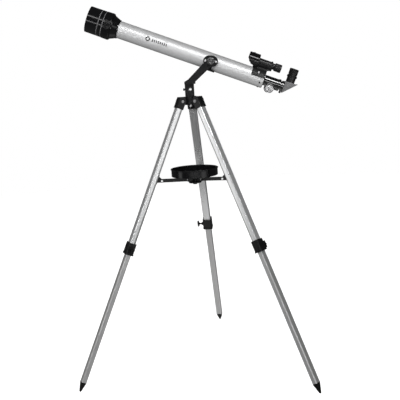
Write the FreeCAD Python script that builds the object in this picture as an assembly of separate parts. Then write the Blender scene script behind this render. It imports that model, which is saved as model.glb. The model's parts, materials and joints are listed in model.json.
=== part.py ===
import FreeCAD, Part

import math
import os

# A 60 mm refracting telescope on an altitude-azimuth yoke and a folding aluminium tripod.
# Millimetres, +Z up. The tube lies in the XZ plane with its front towards -X, and the tripod
# stands on Z = 0. The model is built about the vertical axis of the tripod hub and is moved at
# the end, so that the origin is the middle of its box at floor level.

# --- Tripod: the hub, the legs and their brace -------------------------------------------------
HUB_PIVOT_RADIUS = 32.5         # vertical axis to a leg's hinge bolt
HUB_PIVOT_HEIGHT = 920.7
HUB_TOP = HUB_PIVOT_HEIGHT + 15.0
HUB_RADIUS = 18.5
HUB_DEPTH = 27.0
TONGUE_HALF = 5.0               # half the thickness of the hub's hinge tongues
TONGUE_RADIUS = 11.0
LEG_AZIMUTHS = {"left": 202.73, "right": 322.73, "back": 82.73}
LEG_SPLAY = 24.5                # leg to vertical, open against its stop

CAP_HALF_WIDTH = 15.0
CAP_EAR_RADIUS = 13.0
CAP_BOTTOM = -25.0              # distances along a leg are negative downwards from its pivot
CAP_SOCKET_TOP = -13.0
UPPER_LEG_SIZE = (19.8, 25.4)   # radial and tangential
UPPER_LEG_END = -507.0
LEG_WALL = 1.1
LEG_CORNER = 3.5
LOWER_LEG_SIZE = (17.0, 22.6)
LOWER_LEG_CORNER = 3.0
LOWER_LEG_TOP = -440.0
LOWER_LEG_END = -976.0
RIVET_HEIGHTS = (-31.0, -43.0)

COLLAR_TOP = -491.0
COLLAR_BOTTOM = -531.0
COLLAR_SIZE = (28.0, 33.0)
COLLAR_GAP = 0.35
LOCK_SCREW_HEIGHT = -514.0
LOCK_SCREW_RADIUS = 3.0
LOCK_BOSS_END = 20.0            # collar's boss, sideways from the leg's centre line
LOCK_WING_START = 32.5
LOCK_WING_END = 38.5
LOCK_WING_LENGTH = 24.0

FOOT_TOP = -966.0
FOOT_TIP = -1016.0
FOOT_TOP_RADIUS = 14.4
FOOT_SIZE = (19.2, 24.8)
FOOT_TIP_RADIUS = 4.6

BRACKET_HEIGHT = -266.7         # brace pin, along the leg
BRACKET_OFFSET = 25.0           # brace pin, inwards from the leg's centre line
BRACKET_LENGTH = 33.0
BRACE_PIN_RADIUS = 2.0
ARM_HALF_WIDTH = 4.5
ARM_HEIGHT = 11.0
ARM_WALL = 1.3
ARM_TIP = 4.0                   # arm beyond its inner pivot
BRACE_CENTRE_RADIUS = 30.0      # vertical axis to an arm's inner pivot
BRACE_DIP = 6.0                 # inner pivots below the outer ones
BRACE_HUB_RADIUS = 20.9
BRACE_HUB_DROP = 13.2           # underside of the brace hub below the arms' inner pivots
BRACE_BOSS_RADIUS = 6.0

TRAY_RADIUS = 80.0
TRAY_FLOOR_RADIUS = 62.0
TRAY_BOTTOM = 669.5
TRAY_SHOULDER = 673.5
TRAY_TOP = 698.5
TRAY_WALL = 2.4
TRAY_SCREW_RADIUS = 2.5

# --- Yoke --------------------------------------------------------------------------------------
PIVOT_X = 74.0                  # altitude axis
PIVOT_Z = 1044.7
ELEVATION = 22.16               # tube to the level, front up
COLUMN_HALF = 15.0
COLUMN_BOTTOM = HUB_TOP + 0.4
COLUMN_TOP = 978.0
POST_RADIUS = 9.5
POST_TOP = 972.0
BEND_X = 7.5                    # foot of the slanting arms
BEND_Z = 982.0
ARM_INNER = 31.8                # yoke arms, sideways from the tube's axis
ARM_OUTER = 35.3
YOKE_ARM_WIDTH = 26.0
BRIDGE_REACH = 20.0
BRIDGE_BOTTOM = 976.0
BRIDGE_TOP = 984.0
PLATE_OUTER = 37.8
PLATE_LENGTH = 48.0
PLATE_WIDTH = 37.0
PLATE_TILT = 9.0
PLATE_SCREW_SPACING = 17.0
LOCK_HEIGHT = 959.0             # screws in the column
STUD_RADIUS = 3.0
KNOB_INNER = 38.1
KNOB_OUTER = 49.5
KNOB_RADIUS = 13.0

# --- Telescope, along its own axis from the altitude axis, positive to the rear ----------------
TUBE_RADIUS = 28.0
TUBE_WALL = 1.2
TUBE_FRONT = -340.0
TUBE_REAR = 182.2
SADDLE_FRONT = -18.0
SADDLE_REAR = 22.0
SADDLE_RADIUS = 31.0
SADDLE_PAD_TOP = -25.0
STRAP_HALF = 10.0               # half the width of the saddle's strap
SADDLE_BOSS = 31.5

SHIELD_FRONT = -417.8
SHIELD_REAR = -337.8
SHIELD_RADIUS = 42.5
SHIELD_BORE = 40.75             # over the lens cell
SHIELD_MOUTH_BORE = 41.3        # in front of the lens cell
CELL_FRONT = -372.0
CELL_RADIUS = 40.7
CELL_REAR = -314.0
CELL_BORE = 26.5
LENS_RADIUS = 30.5
LENS_SEAT = -350.0
CROWN_FRONT = -360.5
CROWN_REAR = -353.4
FLINT_FRONT = -353.2
CROWN_FRONT_CURVE = 420.0
INNER_CURVE = 250.0

DRAW_TUBE_RADIUS = 14.2
DRAW_TUBE_BORE = 12.9
DRAW_TUBE_FRONT = 142.0
SOCKET_BORE = 12.3              # takes a 24.5 mm barrel
SOCKET_FRONT = 234.0
BARREL_RADIUS = 12.25
BARREL_BORE = 11.0
HOUSING_RADIUS = 17.5
HOUSING_BORE = 14.28
HOUSING_REAR = 239.5
HOUSING_RIM_RADIUS = 19.0
COLLAR_FRONT = 243.8            # draw tube's end collar
COLLAR_REAR = 250.5
COLLAR_RADIUS = 17.5
COLLAR_SCREW_X = 246.8

PINION_X = 208.5
PINION_TEETH = 10
GEAR_MODULE = 0.9
PRESSURE_ANGLE = math.radians(25.0)
PITCH_RADIUS = PINION_TEETH * GEAR_MODULE / 2
PINION_Z = -21.0
RACK_PITCH_Z = PINION_Z + PITCH_RADIUS
RACK_ADDENDUM = 0.75
RACK_DEDENDUM = 1.2
RACK_BACKING = -13.2
TOOTH_SHARE = 0.44              # tooth thickness as a share of the pitch, the rest is backlash
RACK_HALF_WIDTH = 2.8
PINION_HALF_WIDTH = 3.5
SHAFT_RADIUS = 2.0
FOCUS_KNOB_RADIUS = 14.5
FOCUS_KNOB_INNER = 13.5
FOCUS_KNOB_OUTER = 27.0

MIRROR_X = 268.0                # optical axis meets the star diagonal's mirror
DIAGONAL_FRONT = 251.5
DIAGONAL_BARREL_FRONT = 240.0
DIAGONAL_TOP = 19.0
DIAGONAL_HALF_WIDTH = 15.5
DIAGONAL_WALL = 2.5             # mirror face to cover seat, measured along the axis
COVER_THICKNESS = 3.0
COVER_SHIFT = 2.2               # cover plate stands further out at its upper end
EYE_SOCKET_TOP = 39.5
EYE_SOCKET_RADIUS = 14.5
EYEPIECE_BOTTOM = 18.0
EYEPIECE_SHOULDER = 39.9
EYEPIECE_TOP = 65.0
EYEPIECE_RADIUS = 15.0
EYE_LENS_RADIUS = 7.5
FIELD_LENS_RADIUS = 9.0

PLUG_FRONT = 162.0              # front of the focuser inside the tube
PLUG_BORE = 22.0
TUBE_SCREW_X = 172.0
BLOCK_FRONT = 196.0             # block under the focuser that carries the pinion
BLOCK_REAR = 221.0

FINDER_Z = 50.0                 # finder axis above the tube's axis
FINDER_FRONT = 119.0
FINDER_REAR = 226.0
FINDER_CELL_RADIUS = 16.0
FINDER_BODY_RADIUS = 12.5
FINDER_LENS_RADIUS = 13.4
FINDER_EYE_RADIUS = 6.5
FINDER_BAND_FRONT = 190.0
FINDER_BAND_RADIUS = 14.3
FINDER_RING_FRONT = 113.5
FINDER_RING_REAR = 149.0
FINDER_RING_RADIUS = 23.0
FINDER_RING_BORE = 20.0
FINDER_SADDLE_FRONT = 137.0
FINDER_SADDLE_REAR = 181.5
FINDER_SADDLE_RADIUS = 30.5
FINDER_SADDLE_LOW = 3.0
FINDER_CRADLE_REAR = 197.0
FINDER_BOLT_X = 159.0
FINDER_ADJUSTER_X = 128.0

REACH = 300.0                   # larger than any piece, for trimming solids

nodes = {}


# --- Shape helpers -----------------------------------------------------------------------------
def vec(point):
    return FreeCAD.Vector(*point)


def box(x_range, y_range, z_range):
    lows = vec((x_range[0], y_range[0], z_range[0]))
    return Part.makeBox(x_range[1] - x_range[0], y_range[1] - y_range[0], z_range[1] - z_range[0], lows)


def rod(radius, start, end):
    """A cylinder between two points."""
    run = vec(end) - vec(start)
    return Part.makeCylinder(radius, run.Length, vec(start), run)


def tube(radius, bore, start, end):
    return rod(radius, start, end).cut(rod(bore, start, end))


def lathe(outline, height=0.0):
    """Turn a closed outline of (along X, radius) about the X axis, raised by height."""
    points = [vec((x, 0, radius)) for x, radius in outline]
    face = Part.Face(Part.makePolygon(points + points[:1]))
    return moved(face.revolve(vec((0, 0, 0)), vec((1, 0, 0)), 360), (0, 0, height))


def lathe_upright(outline, x=0.0):
    """Turn a closed outline of (radius, height) about the vertical axis at x."""
    points = [vec((radius, 0, z)) for radius, z in outline]
    face = Part.Face(Part.makePolygon(points + points[:1]))
    return moved(face.revolve(vec((0, 0, 0)), vec((0, 0, 1)), 360), (x, 0, 0))


def slab(outline, y_range):
    """A plate with an outline of (x, z), standing across Y."""
    points = [vec((x, y_range[0], z)) for x, z in outline]
    face = Part.Face(Part.makePolygon(points + points[:1]))
    return face.extrude(vec((0, y_range[1] - y_range[0], 0)))


def moved(shape, offset):
    result = shape.copy()
    result.translate(vec(offset))
    return result


def turned(shape, axis, angle, centre=(0, 0, 0)):
    result = shape.copy()
    result.rotate(vec(centre), vec(axis), angle)
    return result


def joined(*shapes):
    result = shapes[0]
    for shape in shapes[1:]:
        result = result.fuse(shape)
    return result.removeSplitter()


def rounded(shape, radius, along):
    """Fillet the straight edges that run along one axis."""
    axis = vec(along)
    edges = []
    for edge in shape.Edges:
        if len(edge.Vertexes) == 2:
            run = edge.Vertexes[1].Point - edge.Vertexes[0].Point
            if run.Length > 0 and abs(run.normalize().dot(axis)) > 0.999:
                edges.append(edge)
    return shape.makeFillet(radius, edges)


def profile_bar(size, corner, z_range):
    """A bar of rounded rectangular section along Z, from (radial, tangential) sizes."""
    half_x = size[0] / 2
    half_y = size[1] / 2
    return rounded(box((-half_x, half_x), (-half_y, half_y), z_range), corner, (0, 0, 1))


def oval(length, width, y_range):
    """A flat ellipse across Y, centred on the Y axis."""
    disc = rod(width / 2, (0, y_range[0], 0), (0, y_range[1], 0))
    stretch = FreeCAD.Matrix()
    stretch.scale(length / width, 1, 1)
    return disc.transformGeometry(stretch)


def on_both_sides(shape):
    """The shape and its mirror image across the XZ plane."""
    return [shape, shape.mirror(vec((0, 0, 0)), vec((0, 1, 0)))]


def on_leg(shape, azimuth):
    """From a leg's own frame, hinge at the origin and leg along -Z, to its place."""
    placed = turned(shape, (0, 1, 0), -LEG_SPLAY)
    placed = moved(placed, (HUB_PIVOT_RADIUS, 0, HUB_PIVOT_HEIGHT))
    return turned(placed, (0, 0, 1), azimuth)


def on_telescope(shape):
    """From the telescope's own frame, altitude axis at the origin, to its place."""
    placed = turned(shape, (0, 1, 0), ELEVATION)
    return moved(placed, (PIVOT_X, 0, PIVOT_Z))


def brace_pin():
    """Radius and height of the brace pins with the legs open."""
    splay = math.radians(LEG_SPLAY)
    radius = HUB_PIVOT_RADIUS - BRACKET_HEIGHT * math.sin(splay) - BRACKET_OFFSET * math.cos(splay)
    height = HUB_PIVOT_HEIGHT + BRACKET_HEIGHT * math.cos(splay) - BRACKET_OFFSET * math.sin(splay)
    return radius, height


# --- Tripod ------------------------------------------------------------------------------------
def tripod_hub():
    """Centre block with three hinge tongues and the post that the yoke turns on."""
    hub = joined(rod(HUB_RADIUS, (0, 0, HUB_TOP - HUB_DEPTH), (0, 0, HUB_TOP)),
                 rod(POST_RADIUS, (0, 0, HUB_TOP), (0, 0, POST_TOP)))
    for azimuth in LEG_AZIMUTHS.values():
        low = HUB_PIVOT_HEIGHT - TONGUE_RADIUS
        tongue = box((0, HUB_PIVOT_RADIUS), (-TONGUE_HALF, TONGUE_HALF), (low, HUB_TOP))
        eye = rod(TONGUE_RADIUS, (HUB_PIVOT_RADIUS, -TONGUE_HALF, HUB_PIVOT_HEIGHT),
                  (HUB_PIVOT_RADIUS, TONGUE_HALF, HUB_PIVOT_HEIGHT))
        hole = rod(STUD_RADIUS, (HUB_PIVOT_RADIUS, -TONGUE_HALF, HUB_PIVOT_HEIGHT),
                   (HUB_PIVOT_RADIUS, TONGUE_HALF, HUB_PIVOT_HEIGHT))
        hub = hub.fuse(turned(tongue.fuse(eye), (0, 0, 1), azimuth))
        hub = hub.cut(turned(hole, (0, 0, 1), azimuth))
    return hub.cut(rod(3.5, (0, 0, HUB_TOP - HUB_DEPTH), (0, 0, POST_TOP))).removeSplitter()


def hinge_bolts():
    """One bolt with a domed head and a nut through each leg's hinge."""
    bolts = []
    for azimuth in LEG_AZIMUTHS.values():
        shank = rod(STUD_RADIUS, (0, -19.5, 0), (0, 15.3, 0))
        head = rod(5.0, (0, 15.3, 0), (0, 18.0, 0))
        head = head.makeFillet(1.6, [edge for edge in head.Edges if edge.BoundBox.YMin > 17.9])
        nut = Part.makePolygon([vec((5.4 * math.cos(turn), -18.3, 5.4 * math.sin(turn)))
                                for turn in [math.radians(60 * corner) for corner in range(7)]])
        nut = Part.Face(nut).extrude(vec((0, 3.0, 0)))
        bolt = moved(joined(shank, head, nut), (HUB_PIVOT_RADIUS, 0, HUB_PIVOT_HEIGHT))
        bolts.append(turned(bolt, (0, 0, 1), azimuth))
    return Part.makeCompound(bolts)


def leg_cap():
    """Plastic fork that straddles a hub tongue and holds the top of the upper leg."""
    side = [(-12.0, CAP_BOTTOM), (12.8, CAP_BOTTOM), (12.8, 10.8), (1.6, 15.6), (-3.0, 12.6),
            (-12.0, -6.0)]
    cap = slab(side, (-CAP_HALF_WIDTH, CAP_HALF_WIDTH))
    cap = rounded(cap, 2.0, (0, 0, 1))
    cap = cap.fuse(rod(CAP_EAR_RADIUS, (0, -CAP_HALF_WIDTH, 0), (0, CAP_HALF_WIDTH, 0)))
    slot_half = TONGUE_HALF + 0.3
    slot = box((-40, 40), (-slot_half, slot_half), (-TONGUE_RADIUS - 1.0, 40))
    hole = rod(STUD_RADIUS + 0.05, (0, -CAP_HALF_WIDTH, 0), (0, CAP_HALF_WIDTH, 0))
    socket = profile_bar(UPPER_LEG_SIZE, LEG_CORNER, (CAP_BOTTOM, CAP_SOCKET_TOP))
    return cap.cut(slot).cut(hole).cut(socket).removeSplitter()


def rivet_shanks(radius):
    """Two shanks through the inner wall of the upper leg."""
    inner = -UPPER_LEG_SIZE[0] / 2
    return [rod(radius, (inner - 0.05, 0, z), (inner + LEG_WALL + 0.8, 0, z)) for z in RIVET_HEIGHTS]


def upper_leg():
    inside = (UPPER_LEG_SIZE[0] - 2 * LEG_WALL, UPPER_LEG_SIZE[1] - 2 * LEG_WALL)
    leg = profile_bar(UPPER_LEG_SIZE, LEG_CORNER, (UPPER_LEG_END, CAP_SOCKET_TOP))
    leg = leg.cut(profile_bar(inside, LEG_CORNER - LEG_WALL, (UPPER_LEG_END, CAP_SOCKET_TOP)))
    for shank in rivet_shanks(1.8):
        leg = leg.cut(shank)
    return leg


def lower_leg():
    inside = (LOWER_LEG_SIZE[0] - 2 * LEG_WALL, LOWER_LEG_SIZE[1] - 2 * LEG_WALL)
    leg = profile_bar(LOWER_LEG_SIZE, LOWER_LEG_CORNER, (LOWER_LEG_END, LOWER_LEG_TOP))
    return leg.cut(profile_bar(inside, LOWER_LEG_CORNER - LEG_WALL, (LOWER_LEG_END, LOWER_LEG_TOP)))


def lock_collar():
    """Sleeve on the end of the upper leg, with a boss for the lock screw."""
    collar = profile_bar(COLLAR_SIZE, 5.0, (COLLAR_BOTTOM, COLLAR_TOP))
    lip_size = (COLLAR_SIZE[0] + 2.4, COLLAR_SIZE[1] + 2.4)
    lip = profile_bar(lip_size, 6.0, (COLLAR_BOTTOM, COLLAR_BOTTOM + 5))
    boss = rod(7.0, (0, 0, LOCK_SCREW_HEIGHT), (0, LOCK_BOSS_END, LOCK_SCREW_HEIGHT))
    seat = profile_bar(UPPER_LEG_SIZE, LEG_CORNER, (UPPER_LEG_END, COLLAR_TOP))
    passage_size = (LOWER_LEG_SIZE[0] + 2 * COLLAR_GAP, LOWER_LEG_SIZE[1] + 2 * COLLAR_GAP)
    passage = profile_bar(passage_size, 3.3, (COLLAR_BOTTOM, UPPER_LEG_END))
    hole = rod(LOCK_SCREW_RADIUS + 0.05, (0, 0, LOCK_SCREW_HEIGHT), (0, LOCK_BOSS_END, LOCK_SCREW_HEIGHT))
    return joined(collar, lip, boss).cut(seat).cut(passage).cut(hole).removeSplitter()


def lock_screw():
    """Wing screw that presses on the lower leg."""
    tip = LOWER_LEG_SIZE[1] / 2 + 0.4
    shoulder = LOCK_BOSS_END + 0.4
    shank = rod(LOCK_SCREW_RADIUS, (0, tip, LOCK_SCREW_HEIGHT), (0, LOCK_WING_START, LOCK_SCREW_HEIGHT))
    collar = rod(5.0, (0, shoulder, LOCK_SCREW_HEIGHT), (0, shoulder + 2.6, LOCK_SCREW_HEIGHT))
    barrel = rod(4.4, (0, LOCK_WING_START - 3, LOCK_SCREW_HEIGHT), (0, LOCK_WING_END, LOCK_SCREW_HEIGHT))
    low = LOCK_SCREW_HEIGHT - LOCK_WING_LENGTH / 2
    wing = box((-2.7, 2.7), (LOCK_WING_START, LOCK_WING_END), (low, low + LOCK_WING_LENGTH))
    wing = rounded(wing, 2.0, (1, 0, 0))
    return joined(shank, collar, barrel, wing)


def leg_foot(azimuth):
    """Tapered plastic tip, cut level where it meets the floor."""
    cone = lathe_upright([(0, FOOT_TIP), (FOOT_TIP_RADIUS, FOOT_TIP), (FOOT_TIP_RADIUS + 0.4, FOOT_TIP + 8),
                          (FOOT_TOP_RADIUS - 0.8, FOOT_TOP - 12), (FOOT_TOP_RADIUS, FOOT_TOP - 10),
                          (FOOT_TOP_RADIUS, FOOT_TOP), (0, FOOT_TOP)])
    foot = cone.common(profile_bar(FOOT_SIZE, LOWER_LEG_CORNER + 1.1, (FOOT_TIP, FOOT_TOP)))
    foot = foot.cut(profile_bar(LOWER_LEG_SIZE, LOWER_LEG_CORNER, (LOWER_LEG_END, FOOT_TOP)))
    below_floor = box((-2 * REACH, 2 * REACH), (-2 * REACH, 2 * REACH), (-REACH, 0))
    return on_leg(foot, azimuth).cut(below_floor)


def brace_bracket():
    """Leaf on the inner face of the leg with two ears for the brace arm."""
    inner = -UPPER_LEG_SIZE[0] / 2
    pin_x = -BRACKET_OFFSET
    leaf = box((inner - 2.0, inner), (-8, 8),
               (BRACKET_HEIGHT - BRACKET_LENGTH / 2, BRACKET_HEIGHT + BRACKET_LENGTH / 2))
    leaf = rounded(leaf, 3.0, (1, 0, 0))
    ear_inner = ARM_HALF_WIDTH + 0.3
    ear_outer = ear_inner + 2.5
    side = [(inner - 1.0, BRACKET_HEIGHT - 11), (inner - 1.0, BRACKET_HEIGHT + 11),
            (pin_x, BRACKET_HEIGHT + 5.5), (pin_x, BRACKET_HEIGHT - 5.5)]
    ear = slab(side, (ear_inner, ear_outer))
    ear = ear.fuse(rod(5.5, (pin_x, ear_inner, BRACKET_HEIGHT), (pin_x, ear_outer, BRACKET_HEIGHT)))
    bracket = joined(leaf, *on_both_sides(ear))
    return bracket.cut(rod(BRACE_PIN_RADIUS, (pin_x, -20, BRACKET_HEIGHT), (pin_x, 20, BRACKET_HEIGHT)))


def leg_fasteners():
    """Two rivets below the cap and the headed pin of the brace arm."""
    inner = -UPPER_LEG_SIZE[0] / 2
    fasteners = []
    for shank, height in zip(rivet_shanks(1.8), RIVET_HEIGHTS):
        head = rod(3.2, (inner - 1.2, 0, height), (inner, 0, height))
        fasteners.append(joined(shank, head))
    pin_x = -BRACKET_OFFSET
    ear_outer = ARM_HALF_WIDTH + 0.3 + 2.5
    pin = rod(BRACE_PIN_RADIUS, (pin_x, -ear_outer, BRACKET_HEIGHT), (pin_x, ear_outer, BRACKET_HEIGHT))
    head = rod(3.6, (pin_x, ear_outer, BRACKET_HEIGHT), (pin_x, ear_outer + 1.6, BRACKET_HEIGHT))
    fasteners.append(joined(pin, *on_both_sides(head)))
    return Part.makeCompound(fasteners)


def brace_arm():
    """Channel strut from a leg's bracket to the brace hub, open side down."""
    outer_radius, outer_height = brace_pin()
    run = outer_radius - BRACE_CENTRE_RADIUS
    length = math.hypot(run, BRACE_DIP)
    half = ARM_HEIGHT / 2
    arm = box((-length - ARM_TIP, 0), (-ARM_HALF_WIDTH, ARM_HALF_WIDTH), (-half, half))
    channel_half = ARM_HALF_WIDTH - ARM_WALL
    channel = box((-length, -9), (-channel_half, channel_half), (-half, half - ARM_WALL))
    eye = rod(half, (0, -ARM_HALF_WIDTH, 0), (0, ARM_HALF_WIDTH, 0))
    hole = rod(BRACE_PIN_RADIUS + 0.05, (0, -ARM_HALF_WIDTH, 0), (0, ARM_HALF_WIDTH, 0))
    arm = joined(arm.cut(channel), eye).cut(hole)
    slope = math.degrees(math.asin(BRACE_DIP / length))
    return moved(turned(arm, (0, 1, 0), -slope), (outer_radius, 0, outer_height))


def brace_centre_height():
    return brace_pin()[1] - BRACE_DIP


def brace_hub():
    """Plate below the inner ends of the arms, with the tray's centre boss."""
    z = brace_centre_height()
    low = z - BRACE_HUB_DROP
    shoulder = z - 7.6
    top = z + 5.1
    plate = lathe_upright([(0, low), (BRACE_HUB_RADIUS, low), (BRACE_HUB_RADIUS, low + 2.6),
                           (BRACE_HUB_RADIUS - 3, shoulder), (BRACE_BOSS_RADIUS, shoulder),
                           (BRACE_BOSS_RADIUS, top), (0, top)])
    return plate.cut(rod(TRAY_SCREW_RADIUS + 0.05, (0, 0, low), (0, 0, top)))


def tray_screw():
    """Low thumb screw under the brace hub."""
    z = brace_centre_height()
    top = z - BRACE_HUB_DROP - 0.4
    bottom = top - 4.5
    head = rod(7.5, (0, 0, bottom), (0, 0, top))
    for lobe in range(8):
        x = 8.2 * math.cos(math.radians(45 * lobe))
        y = 8.2 * math.sin(math.radians(45 * lobe))
        head = head.cut(rod(1.8, (x, y, bottom), (x, y, top)))
    return joined(head, rod(TRAY_SCREW_RADIUS, (0, 0, top), (0, 0, z + 3.5)))


def accessory_tray():
    """Round dish with a rolled rim and a raised centre."""
    outline = [(0, TRAY_BOTTOM), (TRAY_FLOOR_RADIUS, TRAY_BOTTOM), (TRAY_RADIUS - 2, TRAY_SHOULDER),
               (TRAY_RADIUS - 2, TRAY_TOP - 3), (TRAY_RADIUS, TRAY_TOP - 2.2), (TRAY_RADIUS, TRAY_TOP),
               (TRAY_RADIUS - 2 - TRAY_WALL, TRAY_TOP), (TRAY_RADIUS - 2 - TRAY_WALL, TRAY_SHOULDER + 1),
               (TRAY_FLOOR_RADIUS - 1, TRAY_BOTTOM + TRAY_WALL), (13, TRAY_BOTTOM + TRAY_WALL),
               (11, TRAY_BOTTOM + 6), (0, TRAY_BOTTOM + 6)]
    return lathe_upright(outline)


# --- Yoke --------------------------------------------------------------------------------------
def yoke_fork():
    """Column that turns on the hub's post, a bridge, and two slanting arms."""
    column = box((-COLUMN_HALF, COLUMN_HALF), (-COLUMN_HALF, COLUMN_HALF), (COLUMN_BOTTOM, COLUMN_TOP))
    column = rounded(column, 6.0, (0, 0, 1))
    bridge = box((-COLUMN_HALF, BRIDGE_REACH), (-ARM_OUTER, ARM_OUTER), (BRIDGE_BOTTOM, BRIDGE_TOP))
    slant = math.atan2(PIVOT_Z - BEND_Z, PIVOT_X - BEND_X)
    across_x = YOKE_ARM_WIDTH / 2 * math.sin(slant)
    across_z = YOKE_ARM_WIDTH / 2 * math.cos(slant)
    foot_drop = (BRIDGE_TOP - BRIDGE_BOTTOM) / 2
    side = [(PIVOT_X - across_x, PIVOT_Z + across_z), (PIVOT_X + across_x, PIVOT_Z - across_z),
            (BRIDGE_REACH, BRIDGE_TOP - foot_drop + 2), (BRIDGE_REACH, BRIDGE_BOTTOM),
            (-COLUMN_HALF, BRIDGE_BOTTOM),
            (-COLUMN_HALF, BRIDGE_TOP), (BEND_X - across_x, BEND_Z + across_z)]
    arm = slab(side, (ARM_INNER, ARM_OUTER))
    head = oval(PLATE_LENGTH - 4, PLATE_WIDTH - 4, (ARM_INNER, ARM_OUTER))
    head = moved(turned(head, (0, 1, 0), PLATE_TILT), (PIVOT_X, 0, PIVOT_Z))
    fork = joined(column, bridge, *on_both_sides(arm), *on_both_sides(head))
    fork = fork.cut(rod(POST_RADIUS + 0.06, (0, 0, COLUMN_BOTTOM), (0, 0, POST_TOP + 0.5)))
    fork = fork.cut(rod(STUD_RADIUS + 0.3, (PIVOT_X, -60, PIVOT_Z), (PIVOT_X, 60, PIVOT_Z)))
    fork = fork.cut(rod(2.05, (-COLUMN_HALF, 0, LOCK_HEIGHT), (0, 0, LOCK_HEIGHT)))
    return fork.removeSplitter()


def altitude_plates():
    """Oval bearing plate on the outside of each arm."""
    plate = turned(oval(PLATE_LENGTH, PLATE_WIDTH, (ARM_OUTER, PLATE_OUTER)), (0, 1, 0), PLATE_TILT)
    plate = moved(plate, (PIVOT_X, 0, PIVOT_Z))
    plate = plate.cut(rod(STUD_RADIUS + 0.3, (PIVOT_X, 0, PIVOT_Z), (PIVOT_X, 60, PIVOT_Z)))
    return on_both_sides(plate)


def plate_screws():
    """Two screws through each oval plate into the arm."""
    screws = []
    for end in (-1, 1):
        x = end * PLATE_SCREW_SPACING
        shank = rod(1.6, (x, ARM_INNER + 0.5, 0), (x, PLATE_OUTER, 0))
        head = rod(3.3, (x, PLATE_OUTER, 0), (x, PLATE_OUTER + 1.8, 0))
        head = head.makeFillet(0.9, [edge for edge in head.Edges if edge.BoundBox.YMin > PLATE_OUTER + 1.7])
        screw = moved(turned(joined(shank, head), (0, 1, 0), PLATE_TILT), (PIVOT_X, 0, PIVOT_Z))
        screws += on_both_sides(screw)
    return screws


def centre_bolt():
    """Bolt and washer that keep the yoke on the hub's post."""
    bottom = HUB_TOP - HUB_DEPTH
    return joined(rod(3.2, (0, 0, bottom - 0.3), (0, 0, COLUMN_TOP)),
                  rod(9.0, (0, 0, bottom - 2.3), (0, 0, bottom - 0.3)),
                  rod(5.5, (0, 0, bottom - 7), (0, 0, bottom - 2.3)))


def column_bolt():
    """Grub screw with a round head in the front of the column."""
    x = 3.0
    return joined(rod(2.2, (x, -POST_RADIUS - 0.4, LOCK_HEIGHT), (x, -COLUMN_HALF, LOCK_HEIGHT)),
                  rod(4.2, (x, -COLUMN_HALF - 2.6, LOCK_HEIGHT), (x, -COLUMN_HALF, LOCK_HEIGHT)))


def azimuth_lock_screw():
    """Knurled screw that clamps the yoke on the post."""
    shank = rod(2.0, (-COLUMN_HALF - 2, 0, LOCK_HEIGHT), (-POST_RADIUS - 0.4, 0, LOCK_HEIGHT))
    head = rod(4.0, (-COLUMN_HALF - 6, 0, LOCK_HEIGHT), (-COLUMN_HALF - 1, 0, LOCK_HEIGHT))
    return joined(shank, head)


def altitude_knob():
    """Lobed clamp knob with its stud, on the +Y side of the telescope's own frame."""
    grip = rod(KNOB_RADIUS, (0, KNOB_INNER, 0), (0, KNOB_OUTER, 0))
    for lobe in range(6):
        angle = math.radians(60 * lobe + 30)
        x = 16.2 * math.cos(angle)
        z = 16.2 * math.sin(angle)
        grip = grip.cut(rod(5.5, (x, KNOB_INNER + 2.5, z), (x, KNOB_OUTER, z)))
    stud = rod(STUD_RADIUS, (0, TUBE_RADIUS + 0.6, 0), (0, KNOB_INNER, 0))
    return joined(grip, stud)


# --- Telescope ---------------------------------------------------------------------------------
def tube_saddle():
    """Pad and strap under the tube, with a threaded boss at each side."""
    pad = lathe([(SADDLE_FRONT, TUBE_RADIUS), (SADDLE_REAR, TUBE_RADIUS),
                 (SADDLE_REAR, SADDLE_RADIUS), (SADDLE_FRONT, SADDLE_RADIUS)])
    pad = pad.cut(box((-REACH, REACH), (-REACH, REACH), (SADDLE_PAD_TOP, REACH)))
    strap = lathe([(-STRAP_HALF, TUBE_RADIUS), (STRAP_HALF, TUBE_RADIUS),
                   (STRAP_HALF, SADDLE_RADIUS), (-STRAP_HALF, SADDLE_RADIUS)])
    strap = strap.cut(box((-REACH, REACH), (-REACH, REACH), (9.0, REACH)))
    boss = rod(12.0, (0, 20, 0), (0, SADDLE_BOSS, 0))
    saddle = joined(pad, strap, *on_both_sides(boss))
    saddle = saddle.cut(rod(TUBE_RADIUS, (-REACH, 0, 0), (REACH, 0, 0)))
    return saddle.cut(rod(STUD_RADIUS + 0.05, (0, -60, 0), (0, 60, 0))).removeSplitter()


def tube_screws():
    """Three screws that hold the focuser in the rear of the tube."""
    screws = []
    x = TUBE_SCREW_X
    for turn in (118.0, 180.0, 242.0):
        screw = joined(rod(1.5, (x, 0, TUBE_RADIUS - 4), (x, 0, TUBE_RADIUS)),
                       rod(2.8, (x, 0, TUBE_RADIUS - 0.2), (x, 0, TUBE_RADIUS + 1.2)))
        screws.append(turned(screw, (1, 0, 0), turn))
    return screws


def main_tube():
    shell = tube(TUBE_RADIUS, TUBE_RADIUS - TUBE_WALL, (TUBE_FRONT, 0, 0), (TUBE_REAR, 0, 0))
    return cut_all(shell, tube_screws() + finder_bolts())


def cut_all(shape, tools):
    for tool in tools:
        shape = shape.cut(tool)
    return shape


def objective_cell():
    """Cell that sleeves over the tube and seats the lenses."""
    seat_radius = LENS_RADIUS + 0.1
    shoulder = SHIELD_REAR + 0.4
    return lathe([(CELL_FRONT, seat_radius), (CELL_FRONT, CELL_RADIUS), (shoulder, CELL_RADIUS),
                  (shoulder, 37.5), (shoulder + 3.4, 37.5), (CELL_REAR - 4, 30.6), (CELL_REAR, 30.0),
                  (CELL_REAR, TUBE_RADIUS), (TUBE_FRONT, TUBE_RADIUS), (TUBE_FRONT, CELL_BORE),
                  (LENS_SEAT, CELL_BORE), (LENS_SEAT, seat_radius)])


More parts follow.
